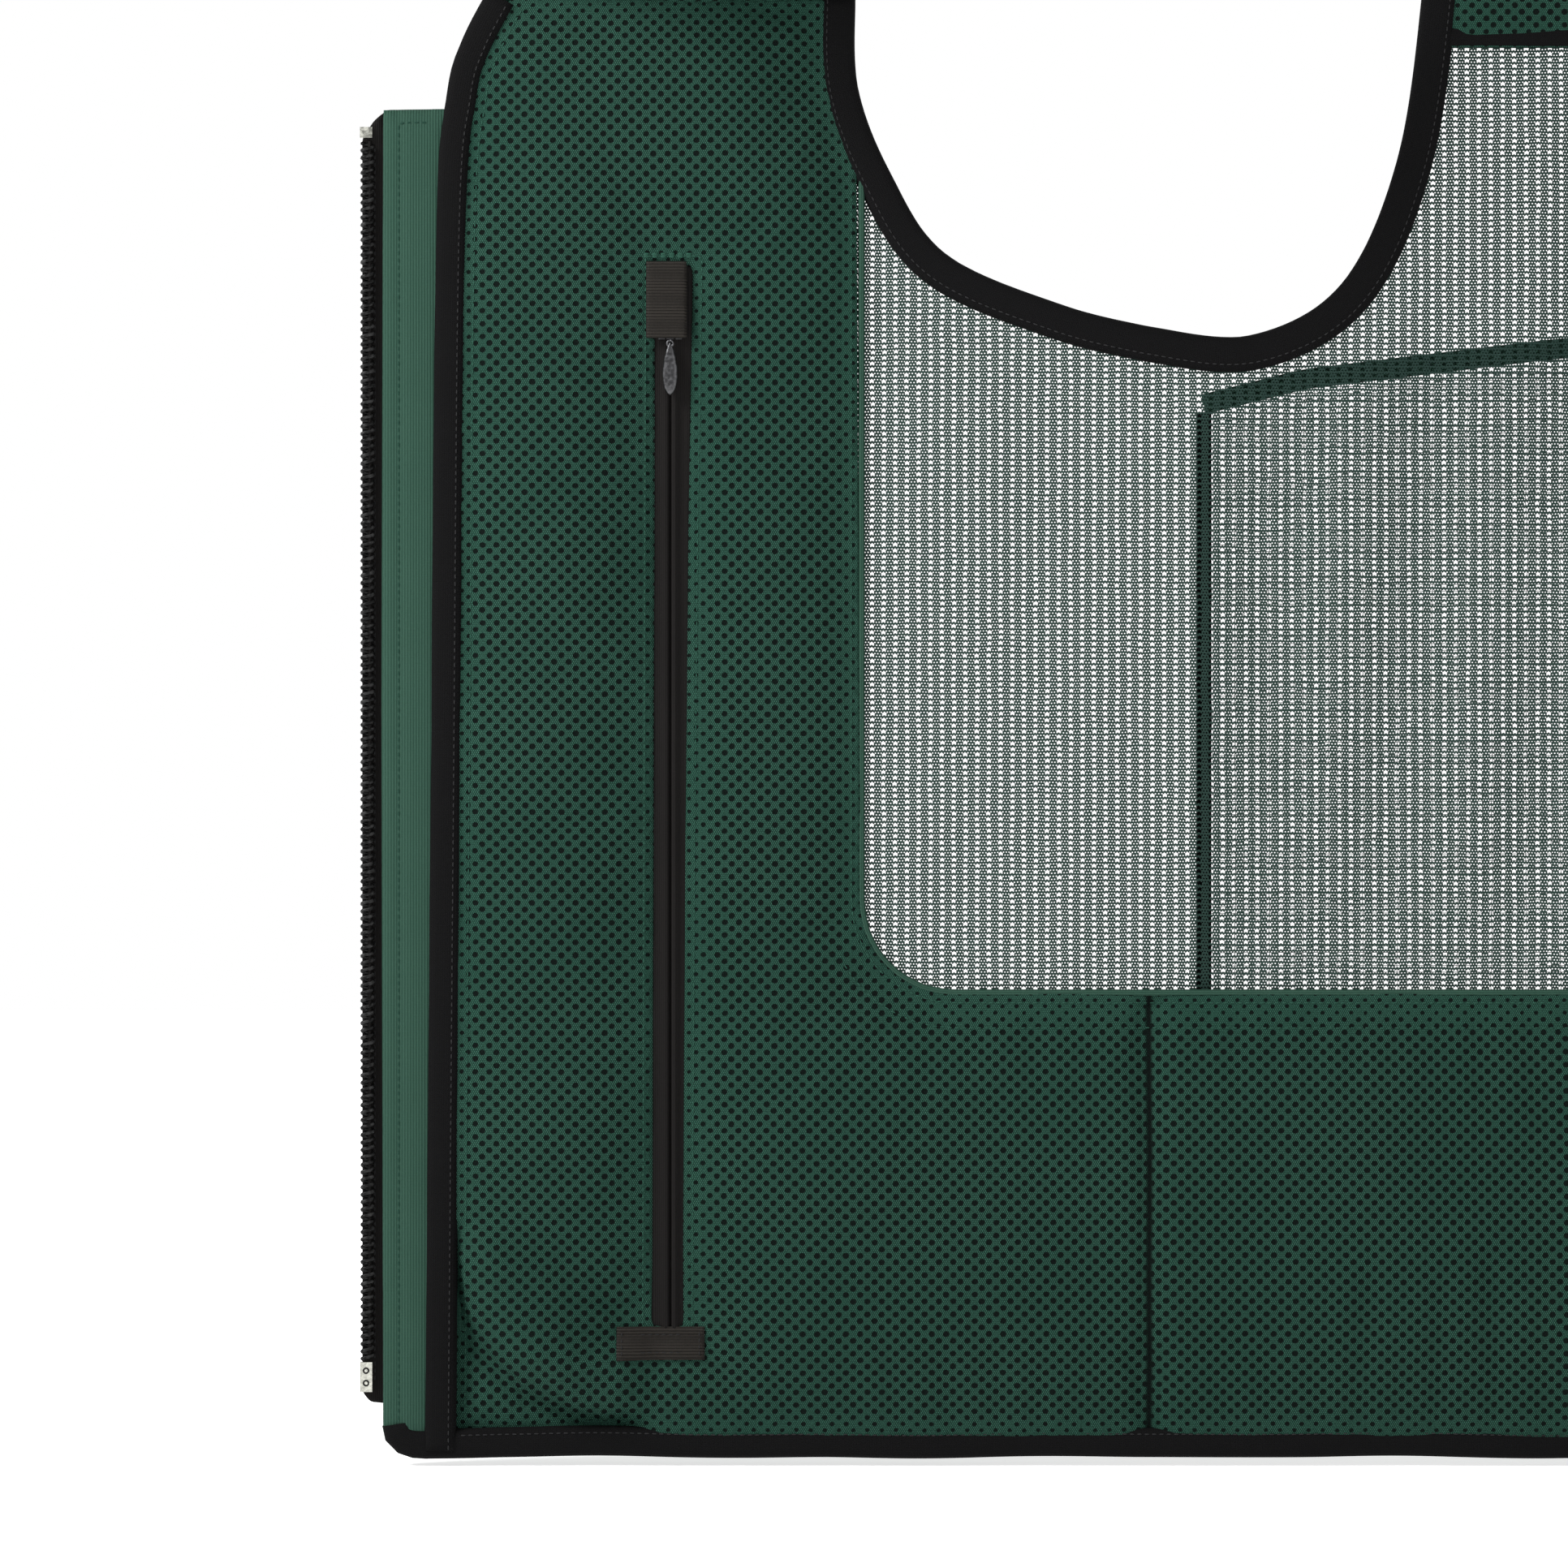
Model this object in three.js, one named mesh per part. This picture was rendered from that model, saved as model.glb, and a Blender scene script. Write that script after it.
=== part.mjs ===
// Fishing vest, unzipped and spread open with its inside facing -Y.
// Millimetres. +X is to the wearer's left, +Z is up, the origin is under the centre back on the hem.
// Each side is drawn once as (u, z), where u is the distance from the centre-back line.
import * as THREE from 'three';
import { mergeVertices } from 'three/addons/utils/BufferGeometryUtils.js';

// Driving dimensions
const ZIP_LINE = 624; // u of the plane where the two front edges meet when the vest is shut
const FOLD = 312; // u of the side seam that each front folds about
const FOLD_DEPTH = 20; // the fold axis lies this far in front of the cloth
const TOP = 575; // top of the flat front panels
const HEM = 12.5; // height of the hem binding
const HEM_END = 614; // the hem binding stops here, beside the front zip
const GAP = 0.3; // clearance between neighbouring pieces
const BINDING = 13; // width of the armhole binding
const BINDING_THICK = 8;
const WINDOW_EDGE = 425.6; // u of the see-through window's upright edge
const WINDOW_SILL = 183;
const WINDOW_CORNER = 37;
const COIL_OUTER = ZIP_LINE - 1.2;
const COIL_INNER = ZIP_LINE - 7.2;
const STOP_INNER = ZIP_LINE - 6; // the metal stop, pin and box are narrower than the coil
const STOP_LONG = 4.5;
const PIN_LONG = 12;
const TAPE_INNER = 598; // the front zip's tape runs this far under the facing
const TAPE_LOW = 22;
const ZIP_BOTTOM = 38;
const ZIP_TOP = 520;
const FACING_EDGE = 613.4;
const FACING_TOP = 531;
const FACING_INNER = 589.4; // where the facing's top edge meets the binding
const FRONT_BINDING = 11.6; // width of the binding beside the facing
const NECK_BINDING = 9;
const NECK_BACK = 625; // height of the neck edge at the centre back
const POCKET_ZIP = 500.5; // u of the inner pocket zip's centre
const POCKET_ZIP_HALF = 7.4;
const POCKET_ZIP_LOW = 52;
const POCKET_ZIP_HIGH = 470;
const SLIT = 1.1; // half of the gap between the pocket zip's two tapes
const TAB_END = 440; // the ribbed tab hides the pocket zip above this height
const SHOULDER_SEAM = 640; // top of the flat back panel at the shoulder
const YOKE_SEAM = 560;
const PANEL_EDGE = FOLD - GAP; // back panels stop here at the side seam
const FRONT_EDGE = FOLD + GAP; // front panels stop here at the side seam
const CURVE_STEPS = 10;

// Cloth layers, front face and back face in Y
const LINING = [-3.6, -1];
const SHELL = [1, 2.6];
const MIDDLE = [-0.6, 0.6];
const BOUND = [-BINDING_THICK / 2, BINDING_THICK / 2];
const CHEST_POCKET = [2.9, 9];
const LOWER_POCKET = [2.9, 20];
const FLAP = [20.5, 22.5];
const REAR_POCKET = [2.9, 12];
const REAR_TRIM = [2.9, 6];
const STAY = [-5.2, -3.9];
const COIL = [-1.8, 1.8];
const TOP_STOP = [-1.9, 1.9];
const PIN = [-1.6, 1.6];
const BOX = [-3, 3];
const FRONT_PULLER = [4.4, 5.6];
const POCKET_PULLER = [-7.2, -6.2];
const HANGER = [-6.4, -4.6];
const RING = [5.4, 8.4];

// Pocket outlines: inner u, outer u, low z, high z
const BAG_OUTLINE = [436, 574, 30, 486];
const STAY_OUTLINE = [POCKET_ZIP - 13.5, POCKET_ZIP + 21, 39, POCKET_ZIP_LOW];
const CHEST_OUTLINE = [448, 570, 320, 455];
const LOWER_OUTLINE = [342, 578, 26, 172];
const FLAP_OUTLINE = [340, 580, 116, 176];
const REAR_OUTLINE = [[292, 28], [292, 412], [250, 422], [150, 434], [0, 440]];
const REAR_TRIM_WIDE = 7;

// Sliders: half width, inner faces, plate and web thickness, length
const FRONT_SLIDER = { half: 8, near: 2.4, thick: 1.4, web: 0.8, back: 2.4, long: 10 };
const POCKET_SLIDER = { half: 4.6, near: 0.9, thick: 1.4, web: 0.7, back: 0.8, long: 9 };

const vest = new THREE.Group();
const point = (u, z) => new THREE.Vector2(u, z);
const cloth = (color, roughness) => new THREE.MeshStandardMaterial({ color, roughness, metalness: 0 });
const MATERIALS = {
  mesh: cloth(0x2c5848, 0.95),
  woven: cloth(0x2f5f4c, 0.85),
  facing: cloth(0x3a7058, 0.7),
  binding: cloth(0x202022, 0.9),
  window: cloth(0x2a3a36, 0.9),
  tape: cloth(0x2d2826, 0.85),
  grosgrain: cloth(0x3a3630, 0.85),
  coil: cloth(0x151515, 0.4),
  metal: new THREE.MeshStandardMaterial({ color: 0xdcdcc8, roughness: 0.3, metalness: 0.9 }),
  gunmetal: new THREE.MeshStandardMaterial({ color: 0x4a4a4c, roughness: 0.35, metalness: 0.9 }),
};

function add(name, geometry, material) {
  const piece = new THREE.Mesh(geometry, MATERIALS[material]);
  piece.name = name;
  vest.add(piece);
  return piece;
}

// A shape whose outline runs anticlockwise, as extruded holes need.
function solidShape(outline, holes) {
  const shape = new THREE.Shape(THREE.ShapeUtils.isClockWise(outline) ? [...outline].reverse() : outline);
  holes.forEach((hole) => shape.holes.push(new THREE.Path(hole)));
  return shape;
}

// A flat piece: an outline in X and Z, filled between two Y faces.
function sheet(outline, [near, far], side = 1, holes = []) {
  const place = (points) => points.map((p) => point(p.x * side, p.y));
  const shape = solidShape(place(outline), holes.map(place));
  const geometry = new THREE.ExtrudeGeometry(shape, { depth: far - near, bevelEnabled: false });
  geometry.rotateX(Math.PI / 2);
  geometry.translate(0, far, 0);
  return geometry;
}

// A profile in Y and Z, drawn out along X between two distances from the centre.
function bar(profile, from, to, side = 1, holes = []) {
  const place = (points) => points.map(([y, z]) => point(y, z));
  const shape = solidShape(place(profile), holes.map(place));
  const geometry = new THREE.ExtrudeGeometry(shape, { depth: to - from, bevelEnabled: false });
  geometry.applyMatrix4(new THREE.Matrix4().set(0, 0, 1, from, 1, 0, 0, 0, 0, 1, 0, 0, 0, 0, 0, 1));
  if (side < 0) geometry.translate(-from - to, 0, 0);
  return geometry;
}

function rectangle(u0, u1, z0, z1) {
  return [point(u0, z0), point(u1, z0), point(u1, z1), point(u0, z1)];
}

function spline(points, steps = CURVE_STEPS) {
  return new THREE.SplineCurve(points.map(([u, z]) => point(u, z))).getPoints(steps);
}

// A line moved sideways to its left by a distance.
function offset(line, distance) {
  return line.map((p, i) => {
    const before = line[Math.max(i - 1, 0)];
    const after = line[Math.min(i + 1, line.length - 1)];
    const along = after.clone().sub(before).normalize();
    return point(p.x - along.y * distance, p.y + along.x * distance);
  });
}

// Keeps a line between the hem binding and a level top edge.
const level = (line, top) => line.map((p) => point(p.x, Math.min(Math.max(p.y, HEM + GAP), top)));

// Keeps a line on its own side of the side seam.
const behindSeam = (line) => line.map((p) => point(Math.min(p.x, PANEL_EDGE), p.y));
const aheadOfSeam = (line) => line.map((p) => point(Math.max(p.x, FRONT_EDGE), p.y));

const band = (line, from, to, top) => level([...offset(line, from), ...offset(line, to).reverse()], top);

// Where a rising line crosses a height.
function crossing(line, z) {
  const i = line.findIndex((p) => p.y > z);
  const share = (z - line[i - 1].y) / (line[i].y - line[i - 1].y);
  return point(line[i - 1].x + (line[i].x - line[i - 1].x) * share, z);
}

// A closed body through rings that have the same number of corners.
function loft(rings) {
  const corners = rings[0].length;
  const positions = rings.flat().flatMap((p) => [p.x, p.y, p.z]);
  const faces = [];
  for (let i = 0; i < rings.length - 1; i += 1) {
    for (let j = 0; j < corners; j += 1) {
      const a = i * corners + j;
      const b = i * corners + ((j + 1) % corners);
      faces.push(a, b, b + corners, a, b + corners, a + corners);
    }
  }
  const last = (rings.length - 1) * corners;
  for (let j = 1; j < corners - 1; j += 1) {
    faces.push(0, j + 1, j, last, last + j, last + j + 1);
  }
  const geometry = new THREE.BufferGeometry();
  geometry.setAttribute('position', new THREE.Float32BufferAttribute(positions, 3));
  geometry.setIndex(volume(positions, faces) < 0 ? faces.reverse() : faces);
  return mergeVertices(geometry);
}

function volume(positions, faces) {
  const at = (i) => new THREE.Vector3().fromArray(positions, i * 3);
  let sum = 0;
  for (let i = 0; i < faces.length; i += 3) {
    sum += at(faces[i]).dot(at(faces[i + 1]).cross(at(faces[i + 2])));
  }
  return sum;
}

// Shared outlines
const armholeFront = spline([
  [428, TOP], [427, 540], [414, 506], [392, 474], [346, 454], [FRONT_EDGE, 445.5],
]);
const armholeBack = spline([
  [PANEL_EDGE, 445.4], [272, 442], [236, 462], [214, 510], [204, 575], [200, SHOULDER_SEAM],
], 14);
const frontBindingLine = spline([
  [591.2, HEM + GAP], [589.2, 250], [587, 480], [582.5, 536], [577, 556], [567.2, TOP],
], 12);
const neckLine = spline([[88, SHOULDER_SEAM + 10], [50, 632], [0, NECK_BACK]], 6);

const edgeInside = aheadOfSeam(level(offset(armholeFront, BINDING + GAP), TOP));
const windowCorner = [];
for (let i = 0; i <= 6; i += 1) {
  const turn = (i / 6) * (Math.PI / 2);
  windowCorner.push(point(
    WINDOW_EDGE - WINDOW_CORNER * (1 - Math.cos(turn)),
    WINDOW_SILL + WINDOW_CORNER * (1 - Math.sin(turn)),
  ));
}

function frontPanelOutline() {
  const inner = level(offset(frontBindingLine, FRONT_BINDING / 2 + GAP), TOP);
  const armhole = edgeInside.filter((p) => p.x > WINDOW_EDGE + GAP);
  const seam = [point(FRONT_EDGE, WINDOW_SILL), point(FRONT_EDGE, HEM + GAP)];
  return [...inner, ...armhole, ...windowCorner, ...seam];
}

function windowOutline() {
  const shrink = (p) => point(p.x - GAP, p.y + GAP);
  const armhole = edgeInside.filter((p) => p.x < WINDOW_EDGE - GAP);
  return [...armhole, point(FRONT_EDGE, WINDOW_SILL + GAP), ...windowCorner.map(shrink).reverse()];
}

function hemOutline() {
  const corner = [point(HEM_END - 10, 0), point(HEM_END - 3, 3), point(HEM_END, 9)];
  return [point(FRONT_EDGE, 0), ...corner, point(HEM_END, HEM), point(FRONT_EDGE, HEM)];
}

// The strap in its worn shape: out from the fold, across the shoulder, and up.
function strapPoint(along, across, lift, side) {
  const shoulder = Math.sin(Math.PI * along);
  const armholeEdge = 112 + 4 * along - 26 * shoulder;
  const neckEdge = 224 + 37 * along - 24 * shoulder;
  const out = armholeEdge + (neckEdge - armholeEdge) * across;
  const depth = (FOLD_DEPTH + lift) * Math.cos(Math.PI * along);
  const slope = SHOULDER_SEAM + 10 * across;
  const height = slope + (TOP - slope) * along + (64 + lift + 12 * across) * shoulder;
  const turn = Math.PI * along * along * (3 - 2 * along);
  const x = out * Math.cos(turn) + depth * Math.sin(turn);
  const y = -out * Math.sin(turn) + depth * Math.cos(turn);
  return new THREE.Vector3(side * (FOLD - x), y - FOLD_DEPTH, height);
}

function strap(side) {
  const rings = [];
  const steps = 20;
  for (let i = 0; i <= steps; i += 1) {
    const along = 0.004 + (0.992 * i) / steps;
    rings.push([
      strapPoint(along, 0, -3, side), strapPoint(along, 1, -3, side),
      strapPoint(along, 1, 3, side), strapPoint(along, 0, 3, side),
    ]);
  }
  return loft(rings);
}

// A zip slider: two plates joined by a web that runs between the rows of teeth.
function slider(centre, middle, low, size, side) {
  const { half, near, thick, web, back } = size;
  const profile = [
    [-half, -near - thick], [half, -near - thick], [half, -near], [web, -near],
    [web, back], [half, back], [half, back + thick], [-half, back + thick],
    [-half, back], [-web, back], [-web, -near], [-half, -near],
  ];
  const shape = new THREE.Shape(profile.map(([x, y]) => point(x, y)));
  const geometry = new THREE.ExtrudeGeometry(shape, { depth: size.long, bevelEnabled: false });
  geometry.translate(side * centre, middle, low);
  return geometry;
}

// A teardrop tag with a hole at its upper end.
function puller(centre, top, long, half, faces, side) {
  const outline = [];
  const steps = 12;
  for (let i = 0; i < steps; i += 1) {
    const turn = (i / steps) * Math.PI * 2;
    const swell = 0.62 - 0.38 * Math.cos(turn);
    outline.push(point(centre + half * Math.sin(turn) * swell, top - (long / 2) * (1 - Math.cos(turn))));
  }
  const eye = rectangle(centre - half * 0.16, centre + half * 0.16, top - long * 0.22, top - long * 0.12);
  return sheet(outline, faces, side, [eye]);
}

function frontSide(name, side) {
  const panel = frontPanelOutline();
  const slotHalf = POCKET_ZIP_HALF + GAP;
  const slot = rectangle(
    POCKET_ZIP - slotHalf, POCKET_ZIP + slotHalf, POCKET_ZIP_LOW - GAP, POCKET_ZIP_HIGH + GAP,
  );
  add(`${name}_front_shell`, sheet(panel, SHELL, side), 'woven');
  add(`${name}_front_lining`, sheet(panel, LINING, side, [slot]), 'mesh');
  add(`${name}_window_mesh`, sheet(windowOutline(), MIDDLE, side), 'window');
  add(`${name}_pocket_bag`, sheet(rectangle(...BAG_OUTLINE), MIDDLE, side), 'window');

  const bindingBack = level(offset(frontBindingLine, -FRONT_BINDING / 2 - GAP), TOP);
  const facingInside = bindingBack.filter((p) => p.y < FACING_TOP);
  const facing = [
    point(FACING_EDGE, FACING_TOP), point(FACING_EDGE, HEM + GAP), ...facingInside,
    point(FACING_INNER, FACING_TOP + 3),
  ];
  add(`${name}_placket_facing`, sheet(facing, LINING, side), 'facing');
  const edging = band(frontBindingLine, -FRONT_BINDING / 2, FRONT_BINDING / 2, TOP);
  add(`${name}_front_binding`, sheet(edging, BOUND, side), 'binding');
  const armEdging = aheadOfSeam(band(armholeFront, 0, BINDING, TOP));
  add(`${name}_armhole_binding`, sheet(armEdging, BOUND, side), 'binding');
  add(`${name}_hem_binding`, sheet(hemOutline(), BOUND, side), 'binding');
  frontZip(name, side);
  pocketZip(name, side);
  outerPockets(name, side);
}

function frontZip(name, side) {
  const edge = COIL_INNER - GAP;
  const tape = [
    point(edge, TAPE_LOW + 2), point(edge, FACING_TOP - 4), point(TAPE_INNER, FACING_TOP - 1),
    point(TAPE_INNER, TAPE_LOW),
  ];
  add(`${name}_zip_tape`, sheet(tape, MIDDLE, side), 'tape');
  add(`${name}_zip_coil`, sheet(rectangle(COIL_INNER, COIL_OUTER, ZIP_BOTTOM, ZIP_TOP), COIL, side), 'coil');
  const stop = rectangle(STOP_INNER, COIL_OUTER, ZIP_TOP + GAP, ZIP_TOP + STOP_LONG);
  add(`${name}_zip_top_stop`, sheet(stop, TOP_STOP, side), 'metal');
}

// The wearer's right edge carries the pin; the left edge carries the box and the slider.
function zipEnds() {
  const foot = rectangle(STOP_INNER, COIL_OUTER, ZIP_BOTTOM - PIN_LONG, ZIP_BOTTOM - GAP);
  add('right_insertion_pin', sheet(foot, PIN, -1), 'metal');
  add('left_retainer_box', sheet(foot, BOX, 1), 'metal');
  add('front_zip_slider', slider(ZIP_LINE, 0, ZIP_BOTTOM + 0.5, FRONT_SLIDER, 1), 'metal');
  add('front_zip_puller', puller(ZIP_LINE, ZIP_BOTTOM + 6, 26, 7, FRONT_PULLER, 1), 'metal');
}

function pocketZip(name, side) {
  const near = POCKET_ZIP - POCKET_ZIP_HALF;
  const far = POCKET_ZIP + POCKET_ZIP_HALF;
  const closed = POCKET_ZIP_LOW + 2;
  const tape = [
    point(near, POCKET_ZIP_LOW), point(far, POCKET_ZIP_LOW), point(far, POCKET_ZIP_HIGH),
    point(POCKET_ZIP + SLIT, POCKET_ZIP_HIGH), point(POCKET_ZIP + SLIT, closed),
    point(POCKET_ZIP - SLIT, closed), point(POCKET_ZIP - SLIT, POCKET_ZIP_HIGH), point(near, POCKET_ZIP_HIGH),
  ];
  add(`${name}_pocket_zip`, sheet(tape, [-3.4, -2.4], side), 'tape');
  add(`${name}_pocket_slider`, slider(POCKET_ZIP, -2.9, TAB_END + 0.6, POCKET_SLIDER, side), 'gunmetal');
  add(`${name}_pocket_puller`, puller(POCKET_ZIP, TAB_END - 0.5, 21, 4.2, POCKET_PULLER, side), 'gunmetal');
  // The tab stands clear of the slider below and lies on the lining above it.
  const tabProfile = [
    [-6.9, TAB_END], [-5.9, TAB_END], [-5.9, 455], [-3.9, 458], [-3.9, 471], [-5.2, 471], [-6.9, 456],
  ];
  add(`${name}_pocket_top_tab`, bar(tabProfile, POCKET_ZIP - 6.4, POCKET_ZIP + 9.3, side), 'grosgrain');
  add(`${name}_pocket_bottom_bar`, sheet(rectangle(...STAY_OUTLINE), STAY, side), 'grosgrain');
}

// A pocket outline whose two lower corners are cut round.
function rounded([u0, u1, z0, z1], corner) {
  const bite = corner * 0.3;
  return [
    point(u0, z1), point(u0, z0 + corner), point(u0 + bite, z0 + bite), point(u0 + corner, z0),
    point(u1 - corner, z0), point(u1 - bite, z0 + bite), point(u1, z0 + corner), point(u1, z1),
  ];
}

function outerPockets(name, side) {
  add(`${name}_chest_pocket`, sheet(rounded(CHEST_OUTLINE, 12), CHEST_POCKET, side), 'woven');
  add(`${name}_lower_pocket`, sheet(rounded(LOWER_OUTLINE, 16), LOWER_POCKET, side), 'woven');
  add(`${name}_lower_flap`, sheet(rounded(FLAP_OUTLINE, 10), FLAP, side), 'woven');
}

function back() {
  const mirror = (line) => line.map((p) => point(-p.x, p.y)).reverse();
  const armInside = behindSeam(offset(armholeBack, BINDING + GAP));
  const below = armInside.filter((p) => p.y < YOKE_SEAM - GAP);
  const above = level(armInside.filter((p) => p.y > YOKE_SEAM), SHOULDER_SEAM);
  const meshHalf = [
    point(PANEL_EDGE, WINDOW_SILL + GAP), ...below, crossing(armInside, YOKE_SEAM - GAP),
  ];
  const outline = (half) => [...half, ...mirror(half)];
  add('back_mesh', sheet(outline(meshHalf), MIDDLE), 'window');

  const neckInside = offset(neckLine, NECK_BINDING + GAP);
  const neckHalf = [...neckInside.slice(0, -1), point(0, NECK_BACK - NECK_BINDING - GAP)];
  const yokeHalf = [crossing(armInside, YOKE_SEAM), ...above, ...neckHalf];
  const yoke = [...yokeHalf, ...mirror(yokeHalf).slice(1)];
  add('back_yoke_lining', sheet(yoke, LINING), 'mesh');
  add('back_yoke_shell', sheet(yoke, SHELL), 'woven');

  const waist = rectangle(-PANEL_EDGE, PANEL_EDGE, HEM + GAP, WINDOW_SILL);
  add('back_waist_lining', sheet(waist, LINING), 'mesh');
  add('back_waist_shell', sheet(waist, SHELL), 'woven');
  add('back_hem_binding', sheet(rectangle(-PANEL_EDGE, PANEL_EDGE, 0, HEM), BOUND), 'binding');

  const pocketHalf = REAR_OUTLINE.map(([u, z]) => point(u, z));
  const pocket = [...pocketHalf, ...mirror(pocketHalf).slice(1)];
  add('rear_pocket', sheet(pocket, REAR_POCKET), 'window');
  const edgeHalf = pocketHalf.slice(1).map((p) => point(p.x, p.y + GAP));
  const raised = edgeHalf.map((p) => point(p.x, p.y + REAR_TRIM_WIDE));
  const under = [...edgeHalf, ...mirror(edgeHalf).slice(1)];
  const trim = [...under, ...mirror(raised).reverse(), ...raised.reverse().slice(1)];
  add('rear_pocket_trim', sheet(trim, REAR_TRIM), 'facing');

  const neck = [...neckLine, ...mirror(neckLine).slice(1)];
  add('neck_binding', sheet(band(neck, 0, NECK_BINDING, SHOULDER_SEAM + 10), BOUND), 'binding');
  hangingLoops();

  [['right', -1], ['left', 1]].forEach(([name, side]) => {
    const edging = behindSeam(band(armholeBack, 0, BINDING, SHOULDER_SEAM));
    add(`${name}_back_armhole_binding`, sheet(edging, BOUND, side), 'binding');
    add(`${name}_shoulder_strap`, strap(side), 'woven');
  });
}

// The hanging loop inside the neck, and the outer loop that holds the ring.
function hangingLoops() {
  const loop = [
    point(-30, 600), point(-24, 660), point(24, 660), point(30, 600),
    point(26, 600), point(20, 655), point(-20, 655), point(-26, 600),
  ];
  add('hanger_loop', sheet(loop, HANGER), 'grosgrain');
  const square = (low, high, bottom, top) => [[low, bottom], [high, bottom], [high, top], [low, top]];
  const tunnel = square(4.4, 9.4, 593.5, 598.5);
  add('ring_loop', bar(square(2.9, 10.9, 591.5, 600.5), -12, 12, 1, [tunnel]), 'binding');
  add('back_ring', dRing(), 'metal');
}

// A D-shaped ring whose straight bar runs through the loop.
function dRing() {
  const arch = (half, low, high) => {
    const points = [point(-half, high), point(-half, low + half)];
    for (let i = 1; i <= 8; i += 1) {
      const turn = Math.PI + (i / 8) * Math.PI;
      points.push(point(half * Math.cos(turn), low + half + half * Math.sin(turn)));
    }
    points.push(point(half, high));
    return points;
  };
  return sheet(arch(19, 562, 597.5), RING, 1, [arch(15.5, 565.5, 594.5)]);
}

frontSide('right', -1);
frontSide('left', 1);
zipEnds();
back();

export default vest;
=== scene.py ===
"""Fishing vest, spread open inside out: cloth, trims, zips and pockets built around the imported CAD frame.

Lengths in this file are millimetres until place() turns them into metres.
(u, z) is a point on the spread vest: u is the distance from the centre back, z the height over the hem.
"""

import math

import bpy
import numpy as np
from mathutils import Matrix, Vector, noise
from mathutils.bvhtree import BVHTree
from mathutils.geometry import delaunay_2d_cdt


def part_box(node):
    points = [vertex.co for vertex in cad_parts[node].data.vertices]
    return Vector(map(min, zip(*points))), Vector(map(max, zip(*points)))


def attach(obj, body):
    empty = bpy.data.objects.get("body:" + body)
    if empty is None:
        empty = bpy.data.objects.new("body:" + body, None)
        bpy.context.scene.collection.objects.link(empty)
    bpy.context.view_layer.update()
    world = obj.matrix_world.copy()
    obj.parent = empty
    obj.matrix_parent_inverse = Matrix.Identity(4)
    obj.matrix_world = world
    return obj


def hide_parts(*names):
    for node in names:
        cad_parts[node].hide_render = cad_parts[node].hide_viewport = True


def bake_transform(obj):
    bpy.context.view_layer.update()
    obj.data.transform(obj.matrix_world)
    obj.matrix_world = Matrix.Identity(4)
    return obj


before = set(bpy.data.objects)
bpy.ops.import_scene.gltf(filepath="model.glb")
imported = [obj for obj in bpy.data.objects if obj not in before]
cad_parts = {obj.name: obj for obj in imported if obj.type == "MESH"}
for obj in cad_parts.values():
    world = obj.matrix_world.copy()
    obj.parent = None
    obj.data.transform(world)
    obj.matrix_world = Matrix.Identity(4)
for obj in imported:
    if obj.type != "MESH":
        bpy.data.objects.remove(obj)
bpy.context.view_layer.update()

MM = 0.001
SIDES = {"right": -1, "left": 1}

# Sizes of the garment, as in the CAD model
FOLD = 312.0
FOLD_DEPTH = 20.0
TOP = 575.0
HEM = 12.5
BINDING = 13.0
WINDOW_EDGE = 425.6
WINDOW_SILL = 183.0
WINDOW_CORNER = 37.0
FACING_EDGE = 613.4
FACING_TOP = 531.0
FRONT_BINDING = 11.6
POCKET_ZIP = 500.5
POCKET_LOW = 52.0
POCKET_HIGH = 470.0
SHOULDER_SEAM = 640.0
YOKE_SEAM = 560.0
COIL_CENTRE = 619.8
COIL_PITCH = 2.94

# Depths of the cloth layers in Y
LINING_Y = -3.4
SHELL_Y = 2.0
NET_Y = 0.0

FACING_STITCH = FACING_EDGE - 6.0
WEBBING_RIB = 1.3
THREAD_RADIUS = 0.27
THREAD_LENGTH = 2.0
THREAD_PITCH = 2.9
DRAPE_FRAMES = 16


# ---------------------------------------------------------------- outlines

def spline(points, steps):
    """A smooth line through a few points."""
    p = np.array(points, float)
    last = len(p) - 1
    line = []
    for k in range(steps + 1):
        t = k / steps * last
        i = min(int(t), last - 1)
        f = t - i
        start = (p[i + 1] - p[max(i - 1, 0)]) / 2
        end = (p[min(i + 2, last)] - p[i]) / 2
        cubic = (2 * p[i] - 2 * p[i + 1] + start + end) * f**3
        square = (3 * p[i + 1] - 3 * p[i] - 2 * start - end) * f**2
        line.append(cubic + square + start * f + p[i])
    return np.array(line)


def offset(line, distance):
    """The line moved to its left."""
    along = np.gradient(line, axis=0)
    along /= np.linalg.norm(along, axis=1)[:, None]
    return line + np.stack([-along[:, 1], along[:, 0]], 1) * distance


def resample(line, step):
    """Points at an even spacing along a line."""
    line = np.array(line, float)
    lengths = np.concatenate([[0], np.cumsum(np.linalg.norm(np.diff(line, axis=0), axis=1))])
    count = max(2, int(round(lengths[-1] / step)) + 1)
    at = np.linspace(0, lengths[-1], count)
    return np.stack([np.interp(at, lengths, line[:, k]) for k in range(line.shape[1])], 1)


ARMHOLE_FRONT = [(428, TOP), (427, 540), (414, 506), (392, 474), (346, 454), (FOLD, 445.5)]
ARMHOLE_BACK = [(FOLD, 445.5), (272, 442), (236, 462), (214, 510), (204, 575), (200, SHOULDER_SEAM)]
armhole = np.concatenate([spline(ARMHOLE_FRONT, 40), spline(ARMHOLE_BACK, 50)[1:]])
edging = spline([(591.2, 3), (589.2, 250), (587, 480), (582.5, 536), (577, 556), (567.2, TOP)], 60)
neck = spline([(88, SHOULDER_SEAM + 10), (50, 632), (0, 625), (-50, 632), (-88, SHOULDER_SEAM + 10)], 40)


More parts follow.
